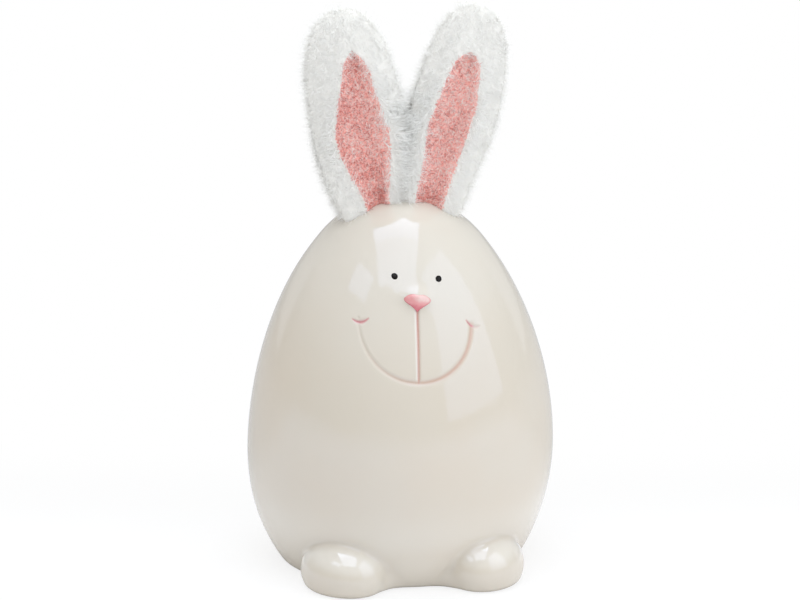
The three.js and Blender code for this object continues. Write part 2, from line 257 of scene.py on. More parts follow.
class Nodes:
    """A node tree that is built one node at a time."""

    def __init__(self, tree: bpy.types.NodeTree) -> None:
        """Takes over a tree and empties it."""
        self.tree = tree
        tree.nodes.clear()

    def add(
        self,
        kind: str,
        settings: dict[str, Any] | None = None,
        sockets: dict[str | int, Any] | None = None,
    ) -> bpy.types.Node:
        """Adds a node, sets its settings and then its sockets.

        Args:
            kind: Blender's name for the node's type.
            settings: The node's own properties.
            sockets: A value or a Signal for each input, by name or number.

        Returns:
            The node.
        """
        made = self.tree.nodes.new(kind)
        for key, value in (settings or {}).items():
            setattr(made, key, value)
        for key, value in (sockets or {}).items():
            if isinstance(value, Signal):
                self.tree.links.new(value.socket, made.inputs[key])
            else:
                made.inputs[key].default_value = value
        return made

    def node(
        self,
        kind: str,
        settings: dict[str, Any] | None = None,
        sockets: dict[str | int, Any] | None = None,
        output: str | int = 0,
    ) -> Signal:
        """Adds a node in the same way, and returns one of its outputs, chosen by name or number."""
        return Signal(self, self.add(kind, settings, sockets).outputs[output])

    def dot(self, vector: Signal, direction: Vector) -> Signal:
        """Returns how far a vector reaches in a fixed direction."""
        sockets = {0: vector, 1: tuple(direction)}
        return self.node("ShaderNodeVectorMath", {"operation": "DOT_PRODUCT"}, sockets, "Value")


class Shader(Nodes):
    """The node tree of a material."""

    def __init__(self, name: str) -> None:
        """Starts an empty material of that name."""
        self.material = bpy.data.materials.new(name)
        self.material.use_nodes = True
        super().__init__(self.material.node_tree)

    def place(self) -> Signal:
        """Returns the place on the piece, in metres."""
        return self.node("ShaderNodeTexCoord", output="Object")

    def attribute(self, name: str) -> Signal:
        """Returns a number that the mesh carries at each point."""
        return self.node("ShaderNodeAttribute", {"attribute_name": name}, output="Fac")

    def noise(self, scale: float, detail: float = 2.0) -> Signal:
        """Adds a cloudy pattern around 0.5, given its patches to a metre and octaves of finer ones."""
        sockets = {"Vector": self.place(), "Scale": scale, "Detail": detail}
        return self.node("ShaderNodeTexNoise", None, sockets)

    def mix(self, share: Signal, first: Signal | Colour, second: Signal | Colour) -> Signal:
        """Mixes two colours, by the share of the second one."""
        one, other = (side if isinstance(side, Signal) else (*side, 1.0) for side in (first, second))
        return self.node("ShaderNodeMix", {"data_type": "RGBA"}, {0: share, 6: one, 7: other}, 2)

    def bump(self, height: Signal, distance: float) -> Signal:
        """Turns a pattern into a bent normal, given the height that a value of 1 stands for."""
        sockets = {"Strength": 1.0, "Distance": distance, "Height": height}
        return self.node("ShaderNodeBump", None, sockets)

    def surface(self, sockets: dict[str, Any]) -> bpy.types.Material:
        """Ends the material in a Principled surface with these values and links, and returns it."""
        return self.end(self.node("ShaderNodeBsdfPrincipled", None, sockets))

    def end(self, surface: Signal) -> bpy.types.Material:
        """Gives a shader to the material's output and returns the material."""
        self.add("ShaderNodeOutputMaterial", None, {"Surface": surface})
        return self.material


@dataclass(frozen=True)
class GlazeFinish:
    """Glossy ivory glaze over a cast body, with stain in its lines, a bare foot ring, painted shade round the
    feet and painted light on the feet, the crown and beside the philtrum.

    A pattern is given by its patches to a metre and its octaves of finer patches.
    """

    ivory: Colour = seen(217, 211, 198)
    warm: Colour = seen(218, 207, 190)
    # painted shade: darker colour put in the crease round the feet and along the base
    painted_shade: Colour = seen(196, 184, 166)
    # painted light: paler colour put on the feet, between and above them, on the crown and beside the
    # philtrum
    pale: Colour = seen(234, 230, 219)
    tan: Colour = seen(200, 158, 130)
    rose: Colour = seen(206, 128, 132)
    bisque: Colour = seen(222, 211, 192)
    warm_span: Span = (55 * MM, 88 * MM)
    cloud: Span = (24, 3)
    cloud_span: Span = (0.35, 0.68)
    cloud_share: float = 0.4
    painted_shade_share: float = 0.8
    painted_light_share: float = 0.5
    wave: Span = (95, 1.5)
    grain: Span = (420, 1)
    wave_share: float = 0.8
    wave_height: float = 0.1 * MM
    speck: Span = (900, 2)
    speck_span: Span = (0.3, 0.75)
    roughness: Span = (0.04, 0.08)
    bare_roughness: float = 0.6
    refraction: float = 1.57
    gleam: tuple[float, float, float, float] = (0.6, 0.7, 1.0, 1.0)

    def material(self) -> bpy.types.Material:
        """Returns the finished material."""
        shader = Shader("ivory_glaze")
        height = shader.node("ShaderNodeSeparateXYZ", None, {0: shader.place()}, "Z")
        low = 1 - height.graded(*self.warm_span)
        cloud = shader.noise(*self.cloud).graded(*self.cloud_span)
        drift = cloud * self.cloud_share + low * (1 - self.cloud_share)
        colour = shader.mix(drift, self.ivory, self.warm)
        # painted shade: darker where the feet and the floor meet the body
        colour = shader.mix(shader.attribute("pool") * self.painted_shade_share, colour, self.painted_shade)
        # painted light: paler, with a clear coat, on the feet, between and above them, on the crown and in a
        # highlight strip beside the philtrum
        pale = shader.attribute("pale")
        colour = shader.mix(pale * self.painted_light_share, colour, self.pale)
        line = shader.mix(shader.attribute("rosy"), self.tan, self.rose)
        colour = shader.mix(shader.attribute("stain"), colour, line)
        bare = shader.attribute("bare")
        speck = shader.noise(*self.speck).graded(*self.speck_span)
        wave, grain = shader.noise(*self.wave), shader.noise(*self.grain)
        ripple = wave * self.wave_share + grain * (1 - self.wave_share)
        return shader.surface(
            {
                "Base Color": shader.mix(bare, colour, self.bisque),
                "Roughness": speck.spread(*self.roughness) + self.bare_roughness * bare,
                "Normal": shader.bump(ripple, self.wave_height),
                "IOR": self.refraction,
                "Specular Tint": self.gleam,
                "Coat Weight": pale,
                "Coat Roughness": COAT_ROUGHNESS,
            }
        )


@dataclass(frozen=True)
class EnamelFinish:
    """Glossy enamel whose colour deepens with the shade that the mesh carries."""

    name: str
    pale: Colour
    full: Colour
    deep: Colour
    coat: float = 0.6
    shine: float = 0.5
    streaks: float = 1300
    streak_share: float = 0.25
    full_span: Span = (0.05, 0.5)
    deep_span: Span = (0.5, 0.95)
    roughness: Span = (0.12, 0.18)
    refraction: float = 1.5

    def material(self) -> bpy.types.Material:
        """Returns the finished material."""
        shader = Shader(self.name)
        streak = shader.noise(self.streaks)
        shade = shader.attribute("shade") + (streak - 0.5) * self.streak_share
        colour = shader.mix(shade.graded(*self.full_span), self.pale, self.full)
        return shader.surface(
            {
                "Base Color": shader.mix(shade.graded(*self.deep_span), colour, self.deep),
                "Roughness": streak.spread(*self.roughness),
                "IOR": self.refraction,
                "Specular IOR Level": self.shine,
                "Coat Weight": self.coat,
                "Coat Roughness": COAT_ROUGHNESS,
            }
        )


@dataclass(frozen=True)
class PlushFinish:
    """Soft pile: each fibre runs from its root colour to its tip colour, and fibres differ in tone."""

    name: str
    root: Colour
    dull: Colour
    bright: Colour
    blotch: Span = (130, 1.5)
    blotch_share: float = 0.4
    tone_span: Span = (0.16, 0.5)
    tip_span: Span = (0.0, 0.7)
    roughness: Span = (0.85, 0.95)
    sheen: float = 0.3
    sheen_roughness: float = 0.5
    shine: float = 0.2

    def material(self) -> bpy.types.Material:
        """Returns the finished material."""
        shader = Shader(self.name)
        place = shader.node("ShaderNodeUVMap", {"uv_map": PILE_MAP})
        across = shader.node("ShaderNodeSeparateXYZ", None, {0: place}, "X")
        blotch = shader.noise(*self.blotch) - 0.5
        tone = (across + self.blotch_share * blotch).graded(*self.tone_span)
        tip = shader.mix(tone, self.dull, self.bright)
        outer = across.also("Y").graded(*self.tip_span)
        return shader.surface(
            {
                "Base Color": shader.mix(outer, self.root, tip),
                "Roughness": tone.spread(*self.roughness),
                "Sheen Weight": self.sheen,
                "Sheen Roughness": self.sheen_roughness,
                "Specular IOR Level": self.shine,
            }
        )


@dataclass(frozen=True)
class CloudyFinish:
    """A plain finish that is cloudy: its colour and roughness drift together."""

    name: str
    dark: Colour
    light: Colour
    cloud: Span
    roughness: Span
    metallic: float = 0.0

    def material(self) -> bpy.types.Material:
        """Returns the finished material."""
        shader = Shader(self.name)
        cloud = shader.noise(*self.cloud)
        return shader.surface(
            {
                "Base Color": shader.mix(cloud, self.dark, self.light),
                "Metallic": self.metallic,
                "Roughness": cloud.spread(*self.roughness),
            }
        )


ZINC_WIRE = CloudyFinish(
    name="zinc_wire",
    dark=seen(150, 152, 154),
    light=seen(190, 192, 193),
    cloud=(1500, 2),
    roughness=(0.3, 0.5),
    metallic=1.0,
)
SET_GLUE = CloudyFinish(
    name="set_glue",
    dark=seen(226, 217, 188),
    light=seen(238, 232, 212),
    cloud=(500, 3),
    roughness=(0.4, 0.6),
)


@dataclass
class Face:
    """Layout of the face in metres from the nose, across and up, rolled a little on the egg."""

    nose_height: float = 78 * MM
    roll: float = math.radians(5)
    smile_half: float = 15.6 * MM
    smile_depth: float = 14.2 * MM
    smile_drop: float = 19.8 * MM
    philtrum_slant: float = 0.9 * MM
    cheek_half: float = 2.25 * MM
    cheek_depth: float = 0.8 * MM
    cheek_tilt: Span = (0.45 * MM, -0.8 * MM)
    cheek_drop: Span = (0.8 * MM, 0.25 * MM)
    cheek_shift: float = 0.5 * MM
    nose_half: float = 3.85 * MM
    nose_rise: float = 1.97 * MM
    nose_drop: float = 0.25 * MM
    nose_relief: float = 0.75 * MM
    swell_rise: float = 1.6 * MM
    swell_across: float = -0.3 * MM
    swell_half: float = 3.5 * MM
    swell_high: float = 2.2 * MM
    swell_up: float = 0.95 * MM
    eye_out: float = 5.9 * MM
    eye_rise: float = 5.6 * MM
    eye_radius: float = 0.86 * MM
    eye_squash: float = 0.88
    eye_relief: float = 0.22
    eye_unevenness: float = 0.05
    philtrum_top: float = 0.8
    smile_points: int = 161
    philtrum_points: int = 61
    cheek_points: int = 25

    def to_height(self, across: np.ndarray, up: np.ndarray) -> tuple[np.ndarray, np.ndarray]:
        """Turns places of the face into distances sideways round the egg and heights."""
        cos, sin = math.cos(self.roll), math.sin(self.roll)
        return across * cos + up * sin, self.nose_height - across * sin + up * cos

    def from_height(self, sideways: np.ndarray, height: np.ndarray) -> tuple[np.ndarray, np.ndarray]:
        """Turns distances sideways round the egg and heights into places of the face.

        Args:
            sideways: Distances round the egg from the middle of its front.
            height: Heights above the base.

        Returns:
            Distances across and up the face.
        """
        rise = height - self.nose_height
        across = sideways * math.cos(self.roll) - rise * math.sin(self.roll)
        return across, sideways * math.sin(self.roll) + rise * math.cos(self.roll)

    def swell(self, across: np.ndarray, up: np.ndarray) -> np.ndarray:
        """Gives how far the glaze swells out under and above the nose."""
        sideways = hump((across - self.swell_across) / self.swell_half)
        return self.swell_rise * sideways * hump((up - self.swell_up) / self.swell_high)

    def smile(self) -> np.ndarray:
        """Returns points along the smile, a half ellipse from corner to corner."""
        turn = np.linspace(-math.pi / 2, math.pi / 2, self.smile_points)
        low = self.smile_depth - self.smile_drop
        return np.stack([self.smile_half * np.sin(turn), low - self.smile_depth * np.cos(turn)], 1)

    def philtrum(self) -> np.ndarray:
        """Returns points along the upright line from the nose to the smile."""
        share = np.linspace(0, 1, self.philtrum_points)
        top = -self.philtrum_top * self.nose_rise
        return np.stack([self.philtrum_slant * share, top - (self.smile_drop + top) * share], 1)

    def cheek(self, side: int) -> np.ndarray:
        """Returns points along the curved mark at one corner of the smile, -1 for the left."""
        share = np.linspace(-1, 1, self.cheek_points)
        tilt, drop = (pair[0 if side < 0 else 1] for pair in (self.cheek_tilt, self.cheek_drop))
        low = self.smile_depth - self.smile_drop - drop
        across = side * self.smile_half + self.cheek_shift + share * self.cheek_half
        return np.stack([across, low + self.cheek_depth * share**2 + tilt * share], 1)


def distance_to(line: np.ndarray, across: np.ndarray, up: np.ndarray) -> tuple[np.ndarray, np.ndarray]:
    """Gives places' distances to a line of the face, and the nearest points' shares along it."""
    gaps = np.hypot(across[:, None] - line[None, :, 0], up[:, None] - line[None, :, 1])
    return gaps.min(1), gaps.argmin(1) / (len(line) - 1)


class Relief:
    """Depth and stain of the face's lines at some places of the face, gathered line by line."""

    STAIN_SHARE = 0.75

    def __init__(self, across: np.ndarray, up: np.ndarray) -> None:
        """Starts with plain glaze at the given places."""
        self.across = across
        self.up = up
        self.depth = np.zeros(len(across))
        self.stain = np.zeros(len(across))
        self.rosy = np.zeros(len(across))

    def cut(
        self,
        line: np.ndarray,
        half: Callable[[np.ndarray], np.ndarray],
        depth: Callable[[np.ndarray], np.ndarray],
        stain: Callable[[np.ndarray], np.ndarray],
        rosy: float,
    ) -> None:
        """Adds one grooved and stained line.

        Args:
            line: Points along the line.
            half: Gives half the groove's width, from the share along the line.
            depth: Gives the groove's depth there.
            stain: Gives the strength of its stain there.
            rosy: How pink the stain is, from tan at 0 to rose at 1.
        """
        gap, along = distance_to(line, self.across, self.up)
        trough = hump(gap / half(along))
        tint = stain(along) * hump(gap / (self.STAIN_SHARE * half(along)))
        self.depth = np.maximum(self.depth, depth(along) * trough)
        self.rosy = np.where(tint > self.stain, rosy, self.rosy)
        self.stain = np.maximum(self.stain, tint)


@dataclass(frozen=True)
class Foot:
    """One rounded foot: half its size, its middle, and how far its toes turn in."""

    half: tuple[float, float, float]
    middle: tuple[float, float, float]
    turn: float
    inner_span: Span = (-0.6, 0.8)

    def off(self, places: np.ndarray) -> tuple[np.ndarray, np.ndarray]:
        """Measures points against the foot.

        Args:
            places: Points, one row each.

        Returns:
            Their distances to the foot, and how much they lie on its inner side, from 0 to 1.
        """
        half = np.array(self.half)
        side = math.copysign(1, self.middle[0])
        x, y, z = (places - np.array(self.middle)).T
        cos, sin = math.cos(self.turn), side * math.sin(self.turn)
        local = np.stack([x * cos - y * sin, x * sin + y * cos, z], 1)
        near = np.linalg.norm(local / half, axis=1)
        steep = np.linalg.norm(local / half**2, axis=1)
        inner = smooth_step(-local[:, 0] * side / half[0], *self.inner_span)
        return near * (near - 1) / np.maximum(steep, TINY), inner


@dataclass(frozen=True)
class Bulge:
    """A slight unevenness of the cast egg: its side, -1 for the left, its height, spread and rise."""

    side: int
    height: float
    spread: float
    most: float
    narrowness: int = 5

    def rise(self, turn: np.ndarray, height: np.ndarray) -> np.ndarray:
        """Gives how far the bulge pushes the wall outwards, at angles round the axis and heights."""
        round_it = np.maximum(self.side * np.cos(turn), 0) ** self.narrowness
        return self.most * round_it * hump((height - self.height) / self.spread)


@dataclass(frozen=True)
class PaintedLightAndShade:
    """Painted shade and painted light on the glaze, with strengths from 0 to 1.

    Shade is painted darker in the crease round the feet and along the hem of the base. Light is painted paler
    on the feet, between and above them, and on the crown, and a painted highlight lies in a strip beside the
    line below the nose.
    """

    low_height: float = 18 * MM
    # painted shade in the crease round the feet and along the hem
    crease: float = 0.4
    crease_reach: float = 0.9 * MM
    hem: float = 0.15
    hem_reach: float = 1.3 * MM
    # painted light on the feet, between and above them, and on the crown
    foot_out: Span = (0.5 * MM, 2.5 * MM)
    foot_up: Span = (5 * MM, 10 * MM)
    middle: float = 0.5
    middle_half: float = 12 * MM
    middle_front: Span = (20 * MM, 30 * MM)
    middle_up: Span = (6 * MM, 16 * MM)
    above: float = 0.45
    above_height: float = 15 * MM
    above_reach: float = 7 * MM
    above_front: Span = (5 * MM, 20 * MM)
    crown: float = 0.7
    crown_up: Span = (93 * MM, 99 * MM)
    # painted highlight in a strip beside the line below the nose
    strip_off: float = 0.6 * MM
    strip_half: float = 0.25 * MM
    strip_fade: float = 1 * MM


@dataclass
class GlazedBody:
    """The hollow ceramic egg with its feet, its grooved face and its enamel nose and eyes."""

    radius: float = 41 * MM
    height: float = 100 * MM
    belly: float = 32 * MM
    crown_power: float = 1.775
    base_radius: float = 31.5 * MM
    base_round: float = 1.2 * MM
    wall: float = 4 * MM
    ring_inner: float = 23.3 * MM
    ring_inset: float = 4 * MM
    ring_draft: float = 0.8 * MM
    recess: float = 1 * MM
    vent: float = 4.5 * MM
    vent_round: float = 0.5 * MM
    inside_bare: float = 0.6
    socket: float = 3.6 * MM
    socket_sides: int = 48
    bore_walls: int = 6
    fillet_inner: float = 2.2 * MM
    fillet_outer: float = 1.3 * MM
    fillet_base: float = 7 * MM
    fillet_height: float = 6 * MM
    foot_top: float = 24 * MM
    foot_height: float = 18 * MM
    foot_reach: float = 4 * MM
    foot_cuts: int = 1
    search_span: Span = (18 * MM, 60 * MM)
    halvings: int = 40
    turned_steps: int = 300
    profile_points: int = 4000
    ring_step: float = 0.75 * MM
    even_from: float = 1.5 * MM
    near_base: tuple[float, ...] = (0, 0.06 * MM, 0.16 * MM, 0.32 * MM, 0.55 * MM, 0.85 * MM, 1.2 * MM)
    hollow_rings: int = 25
    face_front: float = 8 * MM
    face_span: Span = (52 * MM, 90 * MM)
    nose_reach: float = 5 * MM
    line_reach: float = 1.6 * MM
    line_cuts: int = 3
    groove_depth: float = 0.4 * MM
    groove_half: float = 0.55 * MM
    face: Face = field(default_factory=Face)
    light_and_shade: PaintedLightAndShade = PaintedLightAndShade()
    bulges: tuple[Bulge, ...] = (
        Bulge(-1, 12 * MM, 16 * MM, 0.8 * MM),
        Bulge(1, 50 * MM, 24 * MM, 0.5 * MM),
        Bulge(-1, 93 * MM, 5 * MM, 0.6 * MM),
        Bulge(1, 92 * MM, 6 * MM, 0.4 * MM),
    )
    feet: tuple[Foot, Foot] = (
        Foot((10.6 * MM, 13.1 * MM, 9.4 * MM), (-19.5 * MM, -27.6 * MM, 4.6 * MM), math.radians(24)),
        Foot((10.3 * MM, 12.9 * MM, 9.6 * MM), (18.5 * MM, -27.6 * MM, 4.6 * MM), math.radians(24)),
    )

    def wall_radius(self, height: np.ndarray | float, margin: float = 0.0) -> np.ndarray:
        """Gives the egg's radius.

        Args:
            height: Heights above the base.
            margin: How far the egg is grown outwards.

        Returns:
            The radius at each height.
        """
        under = self.belly / math.sqrt(1 - (self.base_radius / self.radius) ** 2) + margin
        rise = np.clip((np.asarray(height) - self.belly) / (self.height + margin - self.belly), 0, 1)
        fall = np.clip((self.belly - np.asarray(height)) / under, 0, 1)
        return (self.radius + margin) * np.sqrt(np.clip(1 - rise**self.crown_power - fall**2, 0, 1))

    def crown_height(self, distance: np.ndarray | float) -> np.ndarray:
        """Gives the height of the crown at distances from the axis."""
        rise = (1 - (np.asarray(distance) / self.radius) ** 2) ** (1 / self.crown_power)
        return self.belly + (self.height - self.belly) * rise

    def on_face(self, across: float, up: float, out: float) -> Vector:
        """Finds a point over a place of the face.

        Args:
            across: Distance across the face.
            up: Distance up the face.
            out: Distance off the glaze.

        Returns:
            The point.
        """
        sideways, height = self.face.to_height(across, up)
        radius = float(self.wall_radius(height))
        fall = self.wall_radius(height - SLOPE_STEP) - self.wall_radius(height + SLOPE_STEP)
        lean = math.atan2(float(fall), 2 * SLOPE_STEP)
        turn = sideways / radius
        off = out + float(self.face.swell(across, up))
        reach = radius + off * math.cos(lean)
        return Vector((reach * math.sin(turn), -reach * math.cos(turn), height + off * math.sin(lean)))

    def _off_feet(self, places: np.ndarray) -> tuple[np.ndarray, np.ndarray]:
        """Measures points against the feet.

        Args:
            places: Points, one row each.

        Returns:
            Their distances to the nearer foot, and the fillet that joins it to the egg there.
        """
        (left, left_inner), (right, right_inner) = (foot.off(places) for foot in self.feet)
        inner = np.where(left < right, left_inner, right_inner)
        low = 1 - smooth_step(places[:, 2], 0, self.fillet_height)
        fillet = self.fillet_inner + (self.fillet_base - self.fillet_inner) * low
        return np.minimum(left, right), self.fillet_outer + (fillet - self.fillet_outer) * inner

    def _off_form(self, places: np.ndarray) -> np.ndarray:
        """Gives the distances of points to the whole outer form, less than 0 inside it."""
        height = np.maximum(places[:, 2], 0)
        radius = self.wall_radius(height)
        slope = (self.wall_radius(height + SLOPE_STEP) - radius) / SLOPE_STEP
        egg = (np.hypot(places[:, 0], places[:, 1]) - radius) / np.sqrt(1 + slope**2)
        foot, fillet = self._off_feet(places)
        joined = smooth_min(egg, foot, fillet)
        return -smooth_min(-joined, places[:, 2], self.base_round)

    def _outer_radius(self, turn: np.ndarray, height: np.ndarray) -> np.ndarray:
        """Finds how far the outer form reaches from the axis.

        Args:
            turn: Angles round the axis.
            height: Heights above the base.

        Returns:
            The radius in each direction.
        """
        low, high = (np.full_like(turn, end) for end in self.search_span)
        for _ in range(self.halvings):
            middle = (low + high) / 2
            places = np.stack([middle * np.cos(turn), middle * np.sin(turn), height], 1)
            inside = self._off_form(places) <= TINY
            low = np.where(inside, middle, low)
            high = np.where(inside, high, middle)
        return low

    def _ring_heights(self) -> np.ndarray:
        """Returns heights for the rings of the wall, evenly along its profile and closer near the base."""
        heights = self.height * (1 - np.linspace(1, 0, self.profile_points) ** 2)
        steps = np.hypot(np.diff(heights), np.diff(self.wall_radius(heights)))
        run = np.concatenate([[0], np.cumsum(steps)])
        stops = np.arange(0, run[-1] - self.ring_step / 2, self.ring_step)
        even = np.interp(stops, run, heights)
        return np.concatenate([self.near_base, even[even > self.even_from]])

    def _settle(self, bm: bmesh.types.BMesh) -> None:
        """Puts every point of the wall on the smooth form of egg and feet, with the egg's bulges.

        Args:
            bm: The wall.
        """
        places = points_of(bm)
        turn = np.arctan2(places[:, 1], places[:, 0])
        exact = self.wall_radius(places[:, 2])
        low = places[:, 2] < self.foot_top
        exact[low] = self._outer_radius(turn[low], places[low, 2])
        exact += sum(bulge.rise(turn, places[:, 2]) for bulge in self.bulges)
        exact[np.hypot(places[:, 0], places[:, 1]) < SAME_POINT] = 0
        move_points(bm, np.stack([exact * np.cos(turn), exact * np.sin(turn), places[:, 2]], 1))

    def _face_places(self, places: np.ndarray) -> tuple[np.ndarray, np.ndarray, np.ndarray]:
        """Tells where points lie on the face.

        Args:
            places: Points of the wall.

        Returns:
            Which points lie on the front of the head, and those points' places across and up the face.
        """
        low, high = self.face_span
        front = (places[:, 1] < -self.face_front) & (places[:, 2] > low) & (places[:, 2] < high)
        x, y, z = places[front].T
        return front, *self.face.from_height(np.arctan2(x, -y) * self.wall_radius(z), z)

    def _near_lines(self, places: np.ndarray) -> np.ndarray:
        """Tells which points lie close to a line of the face or to the nose."""
        found = np.zeros(len(places), bool)
        front, across, up = self._face_places(places)
        gap = np.hypot(across, up - self.face.swell_up) - self.nose_reach
        face = self.face
        for line in (face.smile(), face.philtrum(), face.cheek(-1), face.cheek(1)):
            gap = np.minimum(gap, distance_to(line, across, up)[0])
        found[front] = gap < self.line_reach
        return found

    def _near_feet(self, places: np.ndarray) -> np.ndarray:
        """Tells which points lie on or close to a foot."""
        return (places[:, 2] < self.foot_height) & (self._off_feet(places)[0] < self.foot_reach)

    def _engrave(self, bm: bmesh.types.BMesh) -> None:
        """Swells the glaze at the nose, sinks the lines of the face and stains them.

        The smile grows wider, deeper and darker from left to right. The upright line is even and fades a
        little downwards. The cheek marks run out at their ends, and the right one loses its colour half way.

        Args:
            bm: The wall.
        """
        stain = bm.verts.layers.float.new("stain")
        rosy = bm.verts.layers.float.new("rosy")
        front, across, up = self._face_places(points_of(bm))
        relief = Relief(across, up)
        half, deep = self.groove_half, self.groove_depth
        relief.cut(
            self.face.smile(),
            lambda along: half * (0.8 + 0.7 * along),
            lambda along: deep * (0.45 + 0.55 * smooth_step(along, 0.05, 0.5)),
            lambda along: 0.06 + 0.62 * smooth_step(along, 0.05, 0.75),
            0.1,
        )
        relief.cut(
            self.face.philtrum(),
            lambda along: np.full_like(along, 0.8 * half),
            lambda along: np.full_like(along, deep),
            lambda along: 1.0 - 0.2 * smooth_step(along, 0.1, 0.9),
            0.4,
        )
        for side in (-1, 1):
            fade = 0.8 if side > 0 else 0.0
            relief.cut(
                self.face.cheek(side),
                lambda along: half * (0.35 + 0.6 * np.sin(along * math.pi)),
                lambda along: deep * (0.3 + 0.6 * np.sin(along * math.pi)),
                lambda along, fade=fade: 0.95 * (1 - fade * smooth_step(along, 0.4, 0.65)),
                0.95,
            )
        rise = self.face.swell(across, up) - relief.depth
        bm.normal_update()
        bm.verts.ensure_lookup_table()
        for i, index in enumerate(np.flatnonzero(front)):
            vert = bm.verts[index]
            vert[stain] = relief.stain[i]
            vert[rosy] = relief.rosy[i]
            vert.co += vert.normal * rise[i]

    def _paint_light_and_shade(self, bm: bmesh.types.BMesh) -> None:
        """Marks where shade is painted darker, round the feet and along the base, and where light is painted
        paler.

        Args:
            bm: The wall.
        """
        pool = bm.verts.layers.float.new("pool")
        pale = bm.verts.layers.float.new("pale")
        light_and_shade = self.light_and_shade
        places = points_of(bm)
        x, y, z = places.T
        egg = np.hypot(x, y) - self.wall_radius(z)
        foot, _ = self._off_feet(places)
        # painted shade in the crease round the feet and along the hem of the base
        crease = light_and_shade.crease * hump(egg / light_and_shade.crease_reach) * hump(foot / light_and_shade.crease_reach)
        hem = light_and_shade.hem * hump(z / light_and_shade.hem_reach)
        # painted light on the tops of the feet, between and above the feet, and on the crown
        crest = smooth_step(egg, *light_and_shade.foot_out) * smooth_step(z, *light_and_shade.foot_up)
        middle = hump(x / light_and_shade.middle_half) * smooth_step(-y, *light_and_shade.middle_front)
        middle *= light_and_shade.middle * (1 - smooth_step(z, *light_and_shade.middle_up))
        crown = light_and_shade.crown * smooth_step(z, *light_and_shade.crown_up)
        low = z < light_and_shade.low_height
        shaded = np.where(low, np.maximum(crease, hem), 0)
        light = np.where(low, np.maximum(crest, middle), crown)
        above = light_and_shade.above * hump((z - light_and_shade.above_height) / light_and_shade.above_reach)
        light = np.maximum(light, above * smooth_step(-y, *light_and_shade.above_front))
        front, across, up = self._face_places(places)
        # a painted highlight in a strip beside the line below the nose
        line = self.face.philtrum()
        beside = across - np.interp(up, line[::-1, 1], line[::-1, 0]) + light_and_shade.strip_off
        top, bottom = -line[0, 1], -line[-1, 1]
        strip = smooth_step(-up, top, top + light_and_shade.strip_fade)
        strip *= 1 - smooth_step(-up, bottom - light_and_shade.strip_fade, bottom)
        light[front] = np.maximum(light[front], strip * hump(beside / light_and_shade.strip_half))
        for vert, dark, lit in zip(bm.verts, shaded, light):
            vert[pool] = dark
            vert[pale] = lit

    def _inner_profile(self) -> list[tuple[float, float]]:
        """Returns radii and heights of rings from the foot ring through the vent up the hollow."""
        floor = self.recess + self.wall
        rings = [
            (self.base_radius - self.ring_inset, 0.0),
            (self.ring_inner, 0.0),
            (self.ring_inner - self.ring_draft, self.recess),
            (self.vent + self.vent_round, self.recess),
            (self.vent, self.recess + self.vent_round),
            (self.vent, floor),
        ]
        turn = np.linspace(0, math.pi / 2, self.hollow_rings)[:-1]
        heights = floor + (self.height - self.wall - floor) * np.sin(turn)
        return rings + [(float(self.wall_radius(h, -self.wall)), float(h)) for h in heights]

    def _close(self, bm: bmesh.types.BMesh) -> None:
        """Carries the wall on under the base, through the vent and round the hollow inside.

        Args:
            bm: The wall, open at the base.
        """
        bare = bm.verts.layers.float.new("bare")
        edges = [edge for edge in bm.edges if edge.is_boundary]
        for vert in {v for edge in edges for v in edge.verts}:
            vert[bare] = 1.0
        for radius, height in self._inner_profile():
            made = bmesh.ops.extrude_edge_only(bm, edges=edges)["geom"]
            for vert in (g for g in made if isinstance(g, bmesh.types.BMVert)):
                out = Vector((vert.co.x, vert.co.y, 0)).normalized()
                vert.co = out * radius + Vector((0, 0, height))
                vert[bare] = 1.0 if height < self.recess else self.inside_bare
            edges = [g for g in made if isinstance(g, bmesh.types.BMEdge) and g.is_boundary]
        last = list(dict.fromkeys(v for edge in edges for v in edge.verts))
        bmesh.ops.pointmerge(bm, verts=last, merge_co=(0, 0, self.height - self.wall))

    def _pierce(self, casting: bpy.types.Object, sockets: Sequence[Matrix]) -> None:
        """Bores the sockets of the ears through the crown.

        Args:
            casting: The closed casting.
            sockets: Places of the ears, their Z axes along the bores.
        """
        bm = bmesh.new()
        for socket in sockets:
            reach = socket @ Matrix.Translation((0, 0, -self.wall))
            size = {"radius1": self.socket, "radius2": self.socket, "depth": self.bore_walls * self.wall}
            bmesh.ops.create_cone(bm, cap_ends=True, segments=self.socket_sides, matrix=reach, **size)
        bores = new_piece("bores", bm, casting.data.materials[0])
        cut = casting.modifiers.new("sockets", "BOOLEAN")
        cut.operation = "DIFFERENCE"
        cut.solver = "EXACT"
        cut.object = bores
        make_real(casting)
        bpy.data.objects.remove(bores)

    def build(self, finish: GlazeFinish, sockets: Sequence[Matrix]) -> bpy.types.Object:
        """Models the whole casting.

        Args:
            finish: The glaze.
            sockets: Places of the ears that are fixed in its crown.

        Returns:
            The piece.
        """
        heights = self._ring_heights()
        bm = turned([*zip(self.wall_radius(heights), heights), (0, self.height)], self.turned_steps)
        self._settle(bm)
        divide(bm, self._near_lines, self.line_cuts)
        divide(bm, self._near_feet, self.foot_cuts)
        bm = in_order(bm)
        self._settle(bm)
        self._paint_light_and_shade(bm)
        self._engrave(bm)
        self._close(bm)
        bmesh.ops.recalc_face_normals(bm, faces=bm.faces)
        casting = new_piece("glazed_body", bm, finish.material())
        self._pierce(casting, sockets)
        casting.data.set_sharp_from_angle(angle=SHARP_ANGLE)
        return casting

